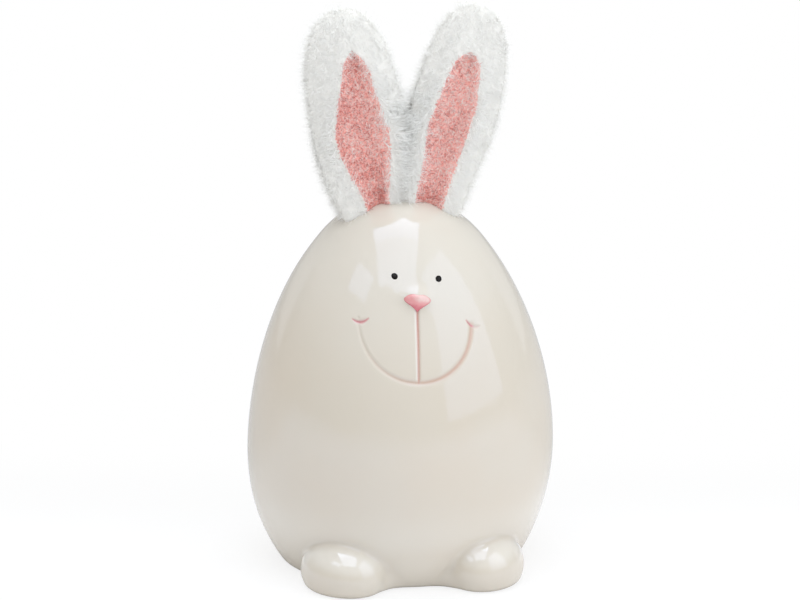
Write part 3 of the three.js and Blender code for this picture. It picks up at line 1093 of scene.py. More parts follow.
    def _drop(
        self,
        name: str,
        steps: tuple[int, int],
        form: Callable[[Vector], tuple[float, float, float, float]],
        finish: EnamelFinish,
    ) -> bpy.types.Object:
        """Models a drop of enamel on the face.

        Args:
            name: Name of the piece.
            steps: Steps round the drop, and from its outermost to its innermost point.
            form: Turns a point of a ball into a shade, a place across and up the face and a rise off it.
            finish: The enamel.

        Returns:
            The piece.
        """
        bm = bmesh.new()
        bmesh.ops.create_uvsphere(bm, u_segments=steps[0], v_segments=steps[1], radius=1)
        shade = bm.verts.layers.float.new("shade")
        for vert in bm.verts:
            vert[shade], *place = form(vert.co)
            vert.co = self.on_face(*place)
        bmesh.ops.recalc_face_normals(bm, faces=bm.faces)
        return new_piece(name, bm, finish.material())

    def build_nose(self, finish: EnamelFinish) -> bpy.types.Object:
        """Models the raised nose, wide and lobed above and pointed below.

        Args:
            finish: The enamel.

        Returns:
            The piece.
        """

        def form(point: Vector) -> tuple[float, float, float, float]:
            """Shapes a ball into the nose, darker at its tip, its edge and its left."""
            x, y, z = point
            narrow = 0.14 + 0.86 * smooth_step(y, -1.2, 0.5)
            dip = 0.16 * hump(x / 0.28) * max(0.0, y) ** 2
            tip = smooth_step(-y, -0.35, 0.75)
            edge = smooth_step(math.hypot(x, y), 0.8, 1.0)
            left = smooth_step(-x, -0.2, 0.5)
            shade = min(1.0, 0.12 + 0.8 * tip + 0.3 * left * (1 - tip) + 0.22 * edge)
            across = self.face.nose_half * x * narrow
            up = self.face.nose_rise * (y * (1 - dip) - 0.08 * (1 - abs(x))) - self.face.nose_drop
            out = self.face.nose_relief * (z**0.7 * (0.8 + 0.2 * y) if z > 0 else z)
            return shade, across, up, out

        return self._drop("enamel_nose", (64, 40), form, finish)

    def build_eye(self, name: str, side: int, finish: EnamelFinish) -> bpy.types.Object:
        """Models one dot of an eye, a thin drop of enamel.

        Args:
            name: Name of the piece.
            side: -1 for the left eye and 1 for the right.
            finish: The enamel.

        Returns:
            The piece.
        """
        face = self.face

        def form(point: Vector) -> tuple[float, float, float, float]:
            """Shapes a ball into a slightly uneven dot."""
            uneven = noise.noise(point * 1.5 + Vector((side * 7, 0, 0)))
            x, y, z = point * (1 + face.eye_unevenness * uneven)
            across = side * face.eye_out + face.eye_radius * x
            up = face.eye_rise + face.eye_squash * face.eye_radius * y
            return math.hypot(point.x, point.y), across, up, face.eye_radius * face.eye_relief * z

        return self._drop(name, (40, 20), form, finish)


class Panel(Enum):
    """The three cloth panels of an ear."""

    BACK = "back_panel"
    FRONT = "front_panel"
    LINING = "lining"


@dataclass(frozen=True)
class Pile:
    """Pile of a plush cloth: the size, number and lie of its fibres.

    The tilt is the least and the greatest lean of a fibre off the cloth's normal, and few fibres lean
    least. A lock is how far apart fibres lie that lean in different directions. Where the cloth's "shag"
    is 1, fibres are longer by a share of their length, stand up by an angle and are painted paler, which
    is painted light. Where it is below 0, as on a lining, the fibres are painted darker, which is painted
    shade. Where its "comb" is a vector, they lean that way, as strictly as it is long. On the map of the
    pile, a fibre's tone runs across, its root is at the bottom and its tip at the top.
    """

    length: float
    radius: float
    per_area: float
    tilt: Span
    lock: float
    seed: int
    flatness: float = 0.3
    root_share: float = 0.08
    lock_turns: float = 4
    wander: float = 1.2
    length_spread: Span = (0.65, 1.2)
    shag_length: float = 0.8
    shag_angle: float = 0.35
    painted_light_tone: float = 0.25
    palest: float = 0.95
    blade_map: Span = (0.01, 0.04)
    map_margin: float = 0.02

    def _fibre(self, material: bpy.types.Material) -> bpy.types.Object:
        """Models one fibre, a flat pointed blade, with its map of tone and place along it.

        Args:
            material: Finish of the fibre.

        Returns:
            The fibre, which is not part of the scene.
        """
        bm = bmesh.new()
        ends = {"radius1": self.radius, "radius2": 0, "depth": self.length}
        bmesh.ops.create_cone(bm, cap_ends=True, segments=3, **ends)
        bmesh.ops.translate(bm, verts=bm.verts, vec=(0, 0, self.length * (0.5 - self.root_share)))
        bmesh.ops.scale(bm, verts=bm.verts, vec=(self.flatness, 1, 1))
        uv = bm.loops.layers.uv.new(PILE_MAP)
        for face in bm.faces:
            for corner, loop in enumerate(face.loops):
                share = loop.vert.co.z / self.length + self.root_share
                height = self.map_margin + (1 - 2 * self.map_margin) * share
                loop[uv].uv = (self.blade_map[corner % 2], height)
        mesh = bpy.data.meshes.new("fibre")
        bm.to_mesh(mesh)
        bm.free()
        mesh.materials.append(material)
        return bpy.data.objects.new("fibre", mesh)

    def _scatter(self, fibre: bpy.types.Object) -> bpy.types.NodeTree:
        """Builds the node tree that scatters fibres over a sheet.

        Args:
            fibre: The fibre that is repeated.

        Returns:
            The tree.
        """
        tree = bpy.data.node_groups.new("pile", "GeometryNodeTree")
        for way in ("INPUT", "OUTPUT"):
            tree.interface.new_socket("Geometry", in_out=way, socket_type="NodeSocketGeometry")
        nodes = Nodes(tree)

        def chance(low: float, high: float, seed: int) -> Signal:
            """Returns a random number for each fibre, between low and high."""
            sockets = {2: low, 3: high, "Seed": self.seed + seed}
            return nodes.node("FunctionNodeRandomValue", {"data_type": "FLOAT"}, sockets, 1)

        def carried(name: str, kind: str) -> Signal:
            """Returns what the cloth carries under that name at each fibre's root."""
            sockets = {"Name": name}
            return nodes.node("GeometryNodeInputNamedAttribute", {"data_type": kind}, sockets, "Attribute")

        sheet = nodes.node("NodeGroupInput")
        spread = {"Mesh": sheet, "Density": self.per_area, "Seed": self.seed}
        points = nodes.node("GeometryNodeDistributePointsOnFaces", None, spread, "Points")
        lock = nodes.node("ShaderNodeTexNoise", None, {"Scale": 1 / self.lock, "Detail": 1.0})
        comb, shag = carried("comb", "FLOAT_VECTOR"), carried("shag", "FLOAT")
        strict = nodes.node("ShaderNodeVectorMath", {"operation": "LENGTH"}, {0: comb}, "Value")
        heading = lock * (self.lock_turns * FULL_TURN) * (1 - strict) + chance(-self.wander, self.wander, 1)
        upright, lying = self.tilt
        often = chance(0, 1, 2)
        rare = often * often * often
        tilt = lying - rare * (lying - upright) - self.shag_angle * shag
        turn = nodes.node("ShaderNodeCombineXYZ", None, {"Y": tilt, "Z": heading})
        lean = nodes.node("FunctionNodeEulerToRotation", None, {0: turn})
        facing = {"Rotation": points.also("Rotation"), "Vector": comb}
        combed = nodes.node("FunctionNodeAlignRotationToVector", {"axis": "X", "pivot_axis": "Z"}, facing)
        turns = {"Rotation": combed, "Rotate By": lean}
        turned_up = nodes.node("FunctionNodeRotateRotation", {"rotation_space": "LOCAL"}, turns)
        copies = nodes.node(
            "GeometryNodeInstanceOnPoints",
            None,
            {
                "Points": points,
                "Instance": nodes.node("GeometryNodeObjectInfo", None, {"Object": fibre}, "Geometry"),
                "Rotation": turned_up,
                "Scale": chance(*self.length_spread, 3) * (1 + self.shag_length * shag),
            },
        )
        # painted light and shade: the fibres' tone is painted paler where the shag is above 0 and darker
        # where it is below 0
        tone = chance(0.0, self.palest - self.painted_light_tone, 4) + self.painted_light_tone * shag
        toned = nodes.node(
            "GeometryNodeStoreNamedAttribute",
            {"data_type": "FLOAT", "domain": "INSTANCE"},
            {"Geometry": copies, "Name": "tone", "Value": tone},
        )
        nodes.add("NodeGroupOutput", None, {0: nodes.node("GeometryNodeRealizeInstances", None, {0: toned})})
        return tree

    def grow(self, sheet: bpy.types.Object) -> bpy.types.Object:
        """Grows the pile on a sheet of cloth.

        Args:
            sheet: The cloth, which is left as it is.

        Returns:
            An object that holds the fibres.
        """
        fibre = self._fibre(sheet.data.materials[0])
        pile = bpy.data.objects.new(f"{sheet.name}_pile", sheet.data.copy())
        bpy.context.scene.collection.objects.link(pile)
        pile.modifiers.new("pile", "NODES").node_group = self._scatter(fibre)
        make_real(pile)
        bpy.data.objects.remove(fibre)
        mesh = pile.data
        tone = np.zeros(len(mesh.vertices), np.float32)
        mesh.attributes["tone"].data.foreach_get("value", tone)
        corner = np.zeros(len(mesh.loops), np.int32)
        mesh.loops.foreach_get("vertex_index", corner)
        places = np.zeros(len(mesh.loops) * 2, np.float32)
        mesh.uv_layers[PILE_MAP].uv.foreach_get("vector", places)
        places[0::2] += tone[corner]
        mesh.uv_layers[PILE_MAP].uv.foreach_set("vector", places)
        return pile


@dataclass(frozen=True)
class LiningShape:
    """Outline of an ear's lining in millimetres: middle line and half width along it, from the crown."""

    along: tuple[float, ...]
    middle: tuple[float, ...]
    half: tuple[float, ...]
    reach: Span = (-10, 60)
    samples: int = 281
    rounding: int = 25

    def middle_at(self, along: np.ndarray) -> np.ndarray:
        """Returns how far across the ear the lining's middle line lies."""
        return np.interp(along / MM, self.along, self.middle) * MM

    def share(self, across: np.ndarray, along: np.ndarray) -> np.ndarray:
        """Measures places on the front of the ear against the lining's edge.

        Args:
            across: Distances across the ear.
            along: Distances from the crown.

        Returns:
            0 on the middle line, 1 on the edge and more outside it.
        """
        steps = np.linspace(*self.reach, self.samples)
        weight = np.hanning(self.rounding)
        weight /= weight.sum()
        place = along / MM
        middle, half = (
            np.interp(place, steps, np.convolve(np.interp(steps, self.along, values), weight, "same"))
            for values in (self.middle, self.half)
        )
        past = np.maximum(place - self.along[-1], 0)
        return np.abs(across / MM - middle) / half + past


@dataclass(frozen=True)
class Stuffing:
    """How an ear's stuffing blows up its skin, and how firmly the skin is held against it.

    The crown holds the root, the wire in the seam holds the edge, and the lining holds the front.
    """

    frames: int = 20
    mass: float = 0.0005
    stiffness: float = 0.05
    bending: float = 0.001
    pressure: float = 4
    swelling: float = 1.3 * MM
    root_span: Span = (1 * MM, 4 * MM)
    edge_grip: float = 0.9
    edge_span: Span = (0.8 * MM, 2.2 * MM)
    lining_grip: float = 0.7
    lining_span: Span = (1.0, 1.3)


@dataclass
class PlushEar:
    """One stuffed plush ear: a leaf-shaped pad of three cloth panels with their pile, on a bent wire.

    Spans that are not lengths are shares of the way from the lining's middle line to its edge, or past it.
    """

    name: str
    side: int
    length: float
    width: float
    root_width: float
    lean: float
    root_shift: float
    shift_span: float
    lining: LiningShape
    body: GlazedBody
    seed: int
    # painted light spread evenly over the ear's lining
    lining_painted_light: float = 0.0
    thickness: float = 9.4 * MM
    root_thickness: float = 12.5 * MM
    widest_at: float = 25 * MM
    tip_power: float = 2.45
    section_power: Span = (8.0, 2.5)
    section_span: float = 16 * MM
    rings: int = 72
    steps: int = 112
    parting: float = 1 * MM
    gap: float = 0.8 * MM
    touch: float = 1.0 * MM
    touch_height: float = 18 * MM
    touch_reach: float = 10 * MM
    lump: float = 0.6 * MM
    lump_patches: float = 70
    lump_span: float = 6 * MM
    seat_gap: float = 0.1 * MM
    seat_span: float = 14 * MM
    seat_limit: float = 0.9
    pile_depth: float = 0.3 * MM
    cloth: float = 0.8 * MM
    cloth_map: tuple[Span, Span] = ((0.5, 0.3), (0.02, 0.06))
    dish: float = 1.5 * MM
    dish_span: Span = (0.2, 1.1)
    fine_span: Span = (0.75, 1.3)
    fine_cuts: int = 1
    edge_patches: float = 1200
    edge_unevenness: float = 0.08
    rim_shag: float = 0.35
    rim_reach: float = 1.8 * MM
    border_shag: float = 0.8
    border_span: Span = (0.05, 0.35)
    root_shade: float = 0.8
    root_shade_span: Span = (1 * MM, 6 * MM)
    meet_span: Span = (18 * MM, 36 * MM)
    comb_strictness: float = 0.8
    comb_span: Span = (0.1, 0.35)
    comb_inset: float = 0.05
    comb_rise: float = 0.3
    bend_span: float = 15 * MM
    stuffing: Stuffing = Stuffing()

    @property
    def moving_body(self) -> str:
        """Name of the part's body that the ear moves with."""
        return f"{self.name}_ear"

    def _half(self, along: np.ndarray, root: float, full: float, length: float) -> np.ndarray:
        """Gives half the breadth of the leaf.

        Args:
            along: Distances from the crown.
            root: Half the breadth at the crown.
            full: Half the breadth where it is widest.
            length: Length of the leaf.

        Returns:
            Half the breadth at each distance.
        """
        low = np.clip(along / self.widest_at, 0, 1)
        high = np.clip((along - self.widest_at) / (length - self.widest_at), 0, 1)
        swell = root + (full - root) * np.sin(low * math.pi / 2)
        return swell * (1 - high**self.tip_power) ** (1 / self.tip_power)

    @property
    def root_x(self) -> float:
        """Place of the root across the crown, which keeps the two ears their gap apart."""
        along = np.linspace(0, self.length, 41)
        half = self._half(along, self.root_width / 2, self.width / 2, self.length)
        reach = (half * math.cos(self.lean) - along * math.sin(abs(self.lean))).max()
        return self.parting + self.side * (self.gap / 2 + float(reach))

    @property
    def place(self) -> Matrix:
        """Turns places along the ear, from the crown up, into places in the frame."""
        root = Matrix.Translation((self.root_x, 0, float(self.body.crown_height(abs(self.root_x)))))
        return root @ Matrix.Rotation(self.lean, 4, "Y")

    def _near_edge(self, places: np.ndarray) -> np.ndarray:
        """Tells which points of the upright leaf lie close to the lining's edge."""
        share = self.lining.share(places[:, 0], places[:, 2])
        return (places[:, 1] < 0) & (share > self.fine_span[0]) & (share < self.fine_span[1])

    def _leaf(self) -> bmesh.types.BMesh:
        """Models the outer skin of the pad, in its own upright frame and open at the root."""
        inset = self.pile_depth
        length = self.length - inset
        breadth = (self.root_width / 2 - inset, self.width / 2 - inset, length)
        depth = (self.root_thickness / 2 - inset, self.thickness / 2 - inset, length)
        along = length * np.sin(np.linspace(0, math.pi / 2, self.rings))[:-1]
        bm = turned([*zip(self._half(along, *breadth), along), (0, length)], self.steps)
        places = points_of(bm)
        reach = np.minimum(places[:, 2], length * 0.999)
        wide = self._half(reach, *breadth)
        level = places[:, :2] / wide[:, None]
        at_root, above = self.section_power
        power = above + (at_root - above) * (1 - smooth_step(reach, 0, self.section_span))
        full = np.maximum((np.abs(level) ** power[:, None]).sum(1), TINY) ** (-1 / power)
        full *= np.linalg.norm(level, axis=1)
        places[:, 0] *= full
        places[:, 1] *= full * self._half(reach, *depth) / wide
        share = self.lining.share(places[:, 0], places[:, 2])
        hollow = self.dish * (1 - smooth_step(share, *self.dish_span))
        places[:, 1] += np.where(places[:, 1] < 0, hollow, 0)
        move_points(bm, places)
        divide(bm, self._near_edge, self.fine_cuts)
        return in_order(bm)

    def _shag_and_painted_light(self, places: np.ndarray) -> np.ndarray:
        """Tells where the pile is long and loose, and painted paler as painted light: round the rim, by the
        lining and between the ears.

        On the lining itself it marks painted light and shade instead: painted light along the lining's right
        edge and evenly by the ear's set amount, and painted shade along its left edge and at its root.

        Args:
            places: Points of the upright leaf.

        Returns:
            An amount for each point, from 0 to 1, and from -1 on the lining.
        """
        x, y, z = places.T
        rim = self.rim_shag * hump(y / self.rim_reach)
        away = self.lining.share(x, z) - 1
        near = self.border_shag * (1 - smooth_step(np.abs(away), *self.border_span))
        border = np.where(y < 0, near, 0)
        loose = np.maximum(np.maximum(rim, border), self._between(places))
        shade = self.root_shade * (1 - smooth_step(z, *self.root_shade_span))
        # painted light along the lining's right edge, painted shade along its left edge and at its root
        lit = border * np.sign(x - self.lining.middle_at(z)) - shade + self.lining_painted_light
        return np.where((y < 0) & (away < 0), np.clip(lit, -1, 1), loose)

    def _inner(self, places: np.ndarray) -> np.ndarray:
        """Tells how far points of the upright leaf lie on its side towards the other ear, from 0 to 1."""
        return smooth_step(-self.side * places[:, 0], self.root_width / 4, self.root_width / 2)

    def _between(self, places: np.ndarray) -> np.ndarray:
        """Tells how near points of the upright leaf are to where the ears meet, from 0 to 1."""
        return self._inner(places) * (1 - smooth_step(places[:, 2], *self.meet_span))

    def _comb(self, places: np.ndarray) -> np.ndarray:
        """Tells which way the pile is combed: over the edge of the lining, and across to the other ear.

        Args:
            places: Points of the upright leaf.

        Returns:
            A direction for each point, as long as the combing is strict.
        """
        x, y, z = places.T
        away = self.lining.share(x, z) - 1
        near = self.comb_strictness * (1 - smooth_step(away, *self.comb_span))
        border = np.where((y < 0) & (away > -self.comb_inset), near, 0)
        between = self._between(places)
        inwards = np.sign(self.lining.middle_at(z) - x) * border
        ways = np.zeros_like(places)
        ways[:, 0] = np.where(between > border, -self.side * between, inwards)
        ways[:, 2] = self.comb_rise * between
        return ways

    def _sort(self, bm: bmesh.types.BMesh) -> None:
        """Marks the points of the upright leaf with the lie of their pile, and its faces with their panels.

        The edge between the lining and the front panel is a little uneven. The cloth takes a strip of the
        map of the pile.

        Args:
            bm: The skin of the pad.
        """
        shag, comb = bm.verts.layers.float.new("shag"), bm.verts.layers.float_vector.new("comb")
        places = points_of(bm)
        for vert, amount, way in zip(bm.verts, self._shag_and_painted_light(places), self._comb(places)):
            vert[shag], vert[comb] = amount, way
        panels = list(Panel)
        mark = bm.faces.layers.int.new("panel")
        uv = bm.loops.layers.uv.new(PILE_MAP)
        middles = np.array([face.calc_center_median() for face in bm.faces])
        ragged = np.array([noise.noise(Vector(middle) * self.edge_patches) for middle in middles])
        share = self.lining.share(middles[:, 0], middles[:, 2])
        lined = share + self.edge_unevenness * ragged < 1
        (centre, wide), (low, high) = self.cloth_map
        for face, middle, inside in zip(bm.faces, middles, lined):
            own = Panel.BACK if middle[1] > 0 else Panel.LINING if inside else Panel.FRONT
            face[mark] = panels.index(own)
            for loop in face.loops:
                x, _, z = loop.vert.co
                loop[uv].uv = (centre + wide * x / self.width, low + high * z / self.length)

    def _seat(self, bm: bmesh.types.BMesh) -> None:
        """Makes the pad a little uneven, presses the ears together, shifts the root and seats it.

        Args:
            bm: The skin of the pad.
        """
        places = points_of(bm)
        seed = Vector((self.side * 3, 0, 0))
        noise.seed_set(LUMP_SEED)
        lumps = np.array([noise.noise_vector(Vector(p) * self.lump_patches + seed) for p in places])
        places += lumps * (self.lump * smooth_step(places[:, 2], 0, self.lump_span))[:, None]
        inner = self._inner(places)
        near = hump((places[:, 2] - self.touch_height) / self.touch_reach)
        places[:, 0] -= self.side * self.touch * inner * near
        places[:, 0] += self.root_shift * (1 - smooth_step(places[:, 2], 0, self.shift_span))
        matrix = np.array(self.place)
        world = places @ matrix[:3, :3].T + matrix[:3, 3]
        flat = np.minimum(np.hypot(world[:, 0], world[:, 1]), self.seat_limit * self.body.radius)
        base = world[:, 2] - places[:, 2] * math.cos(self.lean)
        sink = self.body.crown_height(flat) + self.seat_gap - base
        world[:, 2] += sink * (1 - smooth_step(places[:, 2], 0, self.seat_span))
        move_points(bm, world)

    def _hold(self, bm: bmesh.types.BMesh) -> list[float]:
        """Tells how firmly the upright skin is held: by the crown, the wire in its edge and the lining.

        Args:
            bm: The skin of the pad.

        Returns:
            A grip for each point, from 0 to 1.
        """
        stuffing = self.stuffing
        x, y, z = points_of(bm).T
        root = 1 - smooth_step(z, *stuffing.root_span)
        edge = stuffing.edge_grip * (1 - smooth_step(np.abs(y), *stuffing.edge_span))
        near = 1 - smooth_step(self.lining.share(x, z), *stuffing.lining_span)
        lined = np.where(y < 0, stuffing.lining_grip * near, 0)
        return np.maximum(np.maximum(root, edge), lined).tolist()

    def _stuff(self, skin: bpy.types.Object, grip: list[float]) -> None:
        """Blows the skin up from within, as its stuffing does, and keeps its swelling within bounds.

        Args:
            skin: The skin of the pad.
            grip: How firmly each of its points is held.
        """
        stuffing = self.stuffing
        before = np.array([v.co for v in skin.data.vertices])
        held = skin.vertex_groups.new(name="held")
        for index, weight in enumerate(grip):
            held.add([index], weight, "REPLACE")
        cloth = skin.modifiers.new("stuffing", "CLOTH")
        cloth.point_cache.frame_start, cloth.point_cache.frame_end = 1, stuffing.frames
        settings = cloth.settings
        settings.vertex_group_mass = held.name
        settings.mass = stuffing.mass
        settings.tension_stiffness = settings.compression_stiffness = stuffing.stiffness
        settings.shear_stiffness = stuffing.stiffness
        settings.bending_stiffness = stuffing.bending
        settings.use_pressure = True
        settings.uniform_pressure_force = stuffing.pressure
        settings.effector_weights.gravity = 0
        for number in range(1, stuffing.frames + 1):
            bpy.context.scene.frame_set(number)
        make_real(skin)
        bpy.context.scene.frame_set(1)
        skin.vertex_groups.clear()
        move = np.array([v.co for v in skin.data.vertices]) - before
        far = np.linalg.norm(move, axis=1)[:, None]
        most = stuffing.swelling
        bounded = before + move * (most * np.tanh(far / most) / np.maximum(far, TINY))
        skin.data.vertices.foreach_set("co", bounded.ravel())

    def skin(self, material: bpy.types.Material) -> bpy.types.Object:
        """Models the whole skin of the pad, with its panels marked.

        Args:
            material: A finish to hold.

        Returns:
            The skin, with no thickness yet.
        """
        bm = self._leaf()
        self._sort(bm)
        grip = self._hold(bm)
        self._seat(bm)
        skin = new_piece(f"{self.name}_ear_skin", bm, material)
        self._stuff(skin, grip)
        return skin

    def build_panel(
        self,
        skin: bpy.types.Object,
        panel: Panel,
        pile: Pile,
        material: bpy.types.Material,
    ) -> bpy.types.Object:
        """Models one panel of cloth with its pile.

        Args:
            skin: The whole skin of the pad.
            panel: Which panel.
            pile: The pile that grows on it.
            material: Its finish.

        Returns:
            The piece.
        """
        bm = bmesh.new()
        bm.from_mesh(skin.data)
        mark = bm.faces.layers.int["panel"]
        number = list(Panel).index(panel)
        bmesh.ops.delete(bm, geom=[f for f in bm.faces if f[mark] != number], context="FACES")
        cloth = new_piece(f"{self.name}_ear_{panel.value}_plush", bm, material)
        fibres = pile.grow(cloth)
        thick = cloth.modifiers.new("cloth", "SOLIDIFY")
        thick.thickness = self.cloth
        thick.offset = -1
        make_real(cloth)
        with bpy.context.temp_override(active_object=cloth, selected_editable_objects=[cloth, fibres]):
            bpy.ops.object.join()
        return cloth

    def build_wire(self, finish: CloudyFinish) -> bpy.types.Object:
        """Makes the wire loop as a smooth copy of the part's own wire.

        Args:
            finish: The metal.

        Returns:
            The piece.
        """
        bm = bmesh.new()
        bm.from_mesh(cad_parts[f"{self.name}_ear_wire"].data)
        bmesh.ops.remove_doubles(bm, verts=bm.verts, dist=SAME_POINT)
        wire = new_piece(f"{self.name}_ear_bent_wire", bm, finish.material())
        wire.data.set_sharp_from_angle(angle=SHARP_ANGLE)
        return wire

    def attach(self, piece: bpy.types.Object) -> None:
        """Bakes a piece's place into its mesh; where a bend between the crown and the ear would start and end
        is worked out but not used.

        Args:
            piece: The piece.
        """
        start = self.place @ Vector((0, 0, 0))
        end = self.place @ Vector((0, 0, self.bend_span))
        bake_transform(piece)


@dataclass(frozen=True)
class SoftBox:
    """One soft box, placed to the right of, towards and above the object as the camera sees it."""

    name: str
    middle: tuple[float, float, float]
    aim: tuple[float, float, float]
    size: Span
    radiance: float
    tint: Colour = (0.93, 1.0, 1.1)

    def hang(self, view: Matrix) -> None:
        """Adds the lamp.

        Args:
            view: Turns places as the camera sees them into places in the frame.
        """
        data = bpy.data.lights.new(self.name, "AREA")
        data.shape = "RECTANGLE"
        data.size, data.size_y = self.size
        data.color = self.tint
        data.energy = self.radiance * math.pi * self.size[0] * self.size[1]
        lamp = bpy.data.objects.new(self.name, data)
        bpy.context.scene.collection.objects.link(lamp)
        lamp.location = view @ Vector(self.middle)
        square = Matrix.Rotation(math.atan2(view[1][0], view[0][0]), 3, "Z")
        ahead = square.inverted() @ (view @ Vector(self.aim) - lamp.location)
        lamp.rotation_euler = (square @ ahead.to_track_quat("-Z", "Y").to_matrix()).to_euler()


@dataclass
class Studio:
    """Pale floor, soft boxes and a camera at the photograph's angle."""

    photo_width: int = 800
    pixel: float = 0.268 * MM
    azimuth: float = math.radians(-9)
    elevation: float = math.radians(15)
    distance: float = 1.4
    aim_height: float = 70.9 * MM
    sensor: float = 36.0
    surround: float = 1.0
    room_depth: float = 0.6
    room_back: Span = (0.52, 0.62)
    room_top: Span = (0.15, 0.5)
    gap_depth: float = 0.15
    gap_turn: float = math.radians(-62)
    gap_rise: float = math.radians(16)
    gap_span: Span = (0.8, 0.88)
    back_depth: float = 0.15
    back_span: Span = (0.55, 0.9)
    floor_half: float = 30
    near_floor: Colour = seen(250, 250, 250)
    far_floor: Colour = seen(202, 202, 202)
    far_span: Span = (0.0, 0.1)
    floor_shown: Span = (0.8, 1.0)
    boxes: tuple[SoftBox, ...] = (
        SoftBox("overhead_box", (-0.054, 0.225, 0.99), (-0.054, 0.225, 0), (0.666, 0.99), 1.7),
        SoftBox("overhead_core", (-0.054, -0.077, 0.985), (-0.054, -0.077, 0), (0.666, 0.387), 1.0),
        SoftBox("right_box", (0.7, 0.388, 0.69), (0, 0, 0.69), (0.75, 1.2), 1.15),
        SoftBox("left_box", (-0.512, 0.358, 0.707), (0, 0, 0.06), (0.33, 0.2), 1.5),
    )

    def _toward(self, azimuth: float, elevation: float) -> Vector:
        """Gives the direction at an angle round from the front to the right, and one above the horizon."""
        flat = math.cos(elevation)
        return Vector((math.sin(azimuth) * flat, -math.cos(azimuth) * flat, math.sin(elevation)))

    def camera(self) -> None:
        """Sets up the camera so that a pixel covers its real size on the object's axis."""
        data = bpy.data.cameras.new("camera")
        data.sensor_width = self.sensor
        data.lens = self.sensor * self.distance / (self.photo_width * self.pixel)
        camera = bpy.data.objects.new("camera", data)
        bpy.context.scene.collection.objects.link(camera)
        back = self._toward(self.azimuth, self.elevation)
        camera.location = Vector((0, 0, self.aim_height)) + back * self.distance
        camera.rotation_euler = (-back).to_track_quat("-Z", "Y").to_euler()
        bpy.context.scene.camera = camera

    def floor(self) -> None:
        """Lays a pale floor that keeps the object's shadow, duller behind the object except to the camera."""
        bm = bmesh.new()
        bmesh.ops.create_grid(bm, x_segments=1, y_segments=1, size=self.floor_half)
        shader = Shader("pale_floor")
        away = self._toward(self.azimuth + math.pi, 0)
        far = shader.dot(shader.place(), away).graded(*self.far_span)
        colour = shader.mix(far, self.near_floor, self.far_floor)
        dull = {"Base Color": colour, "Roughness": 1.0, "Specular IOR Level": 0.0}
        matte = shader.node("ShaderNodeBsdfPrincipled", None, dull, "BSDF")
        bright = shader.node("ShaderNodeEmission", None, {"Strength": 1.0}, "Emission")
        direct = shader.node("ShaderNodeLightPath", output="Is Camera Ray")
        shown = direct * far.spread(*self.floor_shown)
        surface = shader.node("ShaderNodeMixShader", None, {0: shown, 1: matte, 2: bright}, "Shader")
        new_piece("floor", bm, shader.end(surface))

    def light(self) -> None:
        """Lights the object with soft boxes and a pale surround, dimmer in front, low down and behind."""
        world = bpy.data.worlds.new("studio")
        bpy.context.scene.world = world
        world.use_nodes = True
        nodes = Nodes(world.node_tree)
        way = nodes.node("ShaderNodeTexCoord", output="Generated")
        gap = nodes.dot(way, self._toward(self.azimuth + self.gap_turn, self.gap_rise))
        behind = nodes.dot(way, self._toward(self.azimuth + math.pi, 0))
        height = nodes.dot(way, Vector((0, 0, 1)))
        room = (1 - behind.graded(*self.room_back)) * (1 - height.graded(*self.room_top))
        dim = self.room_depth * room + self.gap_depth * gap.graded(*self.gap_span)
        level = self.surround - dim - self.back_depth * behind.graded(*self.back_span)
        direct = nodes.node("ShaderNodeLightPath", output="Is Camera Ray")
        strength = level + direct * (1.0 - level)
        back = nodes.node("ShaderNodeBackground", None, {"Strength": strength})
        nodes.add("ShaderNodeOutputWorld", None, {"Surface": back})
        right, toward = self._toward(self.azimuth + math.pi / 2, 0), self._toward(self.azimuth, 0)
        view = Matrix((right, toward, Vector((0, 0, 1)))).transposed()
        for box in self.boxes:
            box.hang(view)

    def set_up(self) -> None:
        """Sets up camera, floor and light, with colours shown as they are."""
        bpy.context.scene.view_settings.view_transform = "Standard"
        self.camera()
        self.floor()
        self.light()


def finished(piece: bpy.types.Object, stands_for: Sequence[str]) -> None:
    """Hides the parts that a finished piece stands for, and logs the piece's number of faces.

    Args:
        piece: The piece.
        stands_for: Nodes of the part that it replaces.
    """
    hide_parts(*stands_for)
    log.info("%s: %d faces", piece.name, len(piece.data.polygons))


def dress_body(body: GlazedBody, ears: Sequence[PlushEar]) -> None:
    """Builds the ceramic body, its nose and its eyes.

    Args:
        body: The body.
        ears: The ears that are fixed in its crown.
    """
    casting = body.build(GlazeFinish(), [ear.place for ear in ears])
    pink = EnamelFinish("pink_enamel", seen(232, 200, 194), seen(224, 152, 152), seen(206, 106, 116))
    nose = body.build_nose(pink)
    dark = (seen(24, 21, 20), seen(17, 15, 14), seen(12, 10, 10))
    black = EnamelFinish("black_enamel", *dark, coat=0, shine=0.15)
    left = body.build_eye("enamel_left_eye", -1, black)
    right = body.build_eye("enamel_right_eye", 1, black)
    for piece in (casting, nose, left, right):
        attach(piece, ROOT_BODY)
    lines = ("smile_line", "philtrum_line", "left_cheek_mark", "right_cheek_mark")
    finished(casting, ("ceramic_body", *lines))
    finished(nose, ("nose",))
    finished(left, ("left_eye",))
    finished(right, ("right_eye",))


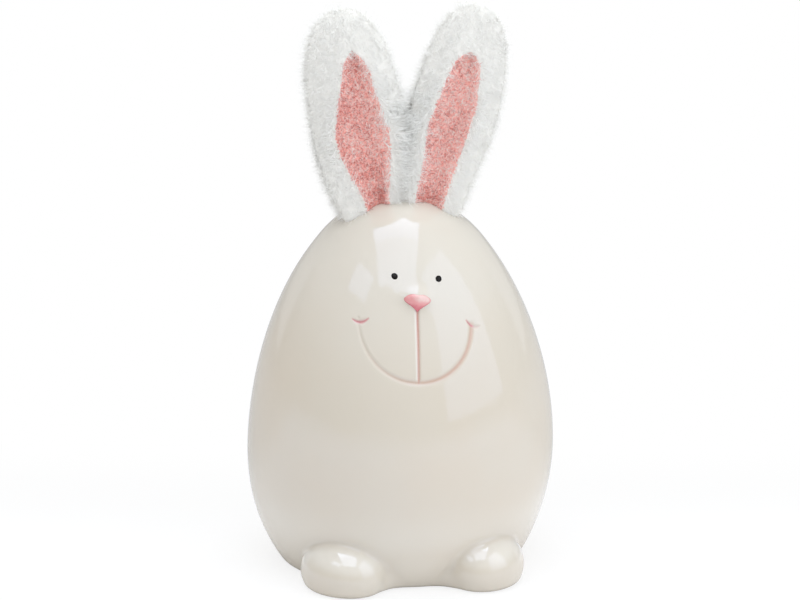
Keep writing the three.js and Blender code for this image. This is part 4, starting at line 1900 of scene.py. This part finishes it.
def dress_ear(ear: PlushEar, white: bpy.types.Material, pink: bpy.types.Material) -> None:
    """Builds the panels, pile and wire of one ear.

    Args:
        ear: The ear.
        white: Finish of the outer panels.
        pink: Finish of the lining.
    """
    outer = Pile(
        length=2.6 * MM,
        radius=0.055 * MM,
        per_area=16e6,
        tilt=(0.1, 1.52),
        lock=2.0 * MM,
        seed=ear.seed,
        shag_angle=0.08,
    )
    inner = Pile(
        length=1.5 * MM,
        radius=0.12 * MM,
        per_area=11e6,
        tilt=(0.2, 1.45),
        lock=0.5 * MM,
        seed=ear.seed + LINING_SEED,
        shag_length=0,
        shag_angle=0,
    )
    skin = ear.skin(white)
    for panel in Panel:
        lining = panel is Panel.LINING
        piece = ear.build_panel(skin, panel, inner if lining else outer, pink if lining else white)
        ear.attach(piece)
        stands_for = [f"{ear.name}_ear_{panel.value}"]
        if panel is Panel.BACK:
            stands_for.append(f"{ear.name}_ear_wadding")
        finished(piece, stands_for)
    bpy.data.objects.remove(skin)
    wire = ear.build_wire(ZINC_WIRE)
    ear.attach(wire)
    finished(wire, [f"{ear.name}_ear_wire"])
    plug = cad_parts[f"{ear.name}_ear_glue"]
    plug.data.materials.clear()
    plug.data.materials.append(SET_GLUE.material())


def main() -> None:
    """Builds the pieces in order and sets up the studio."""
    logging.basicConfig(level=logging.INFO, format="%(name)s: %(message)s")
    Studio().set_up()
    body = GlazedBody()
    left_lining = LiningShape(
        along=(1, 7, 14, 21, 29, 36, 39.5, 41, 41.8),
        middle=(1.1, 1.5, 0.7, 0.4, 0.7, 1.2, 1.2, 1.1, 1.1),
        half=(2.9, 4.3, 6.1, 6.7, 5.4, 3.9, 2.9, 1.8, 0.1),
    )
    right_lining = LiningShape(
        along=(1, 5, 13, 21, 29, 36, 39.5, 41, 41.6),
        middle=(-0.8, -0.8, -0.9, -1.0, -0.6, -0.3, -0.3, -0.3, -0.3),
        half=(3.8, 4.0, 4.6, 5.4, 5.2, 4.2, 3.6, 2.8, 0.1),
    )
    left = PlushEar(
        name="left",
        side=-1,
        length=53 * MM,
        width=25 * MM,
        root_width=15.8 * MM,
        lean=math.radians(-7.3),
        root_shift=1.3 * MM,
        shift_span=14 * MM,
        lining=left_lining,
        body=body,
        seed=100,
    )
    right = PlushEar(
        name="right",
        side=1,
        length=54 * MM,
        width=23.4 * MM,
        root_width=15.6 * MM,
        lean=math.radians(13.1),
        root_shift=-1.5 * MM,
        shift_span=24 * MM,
        lining=right_lining,
        body=body,
        seed=200,
        # the right lining is painted lighter, as painted light
        lining_painted_light=0.2,
    )
    dress_body(body, (left, right))
    white = PlushFinish("white_plush", seen(253, 251, 246), seen(251, 249, 246), seen(255, 255, 252))
    pink = PlushFinish("pink_plush", seen(255, 184, 172), seen(182, 76, 70), seen(255, 252, 247))
    cloths = white.material(), pink.material()
    for ear in (left, right):
        dress_ear(ear, *cloths)


if __name__ == "__main__":
    main()
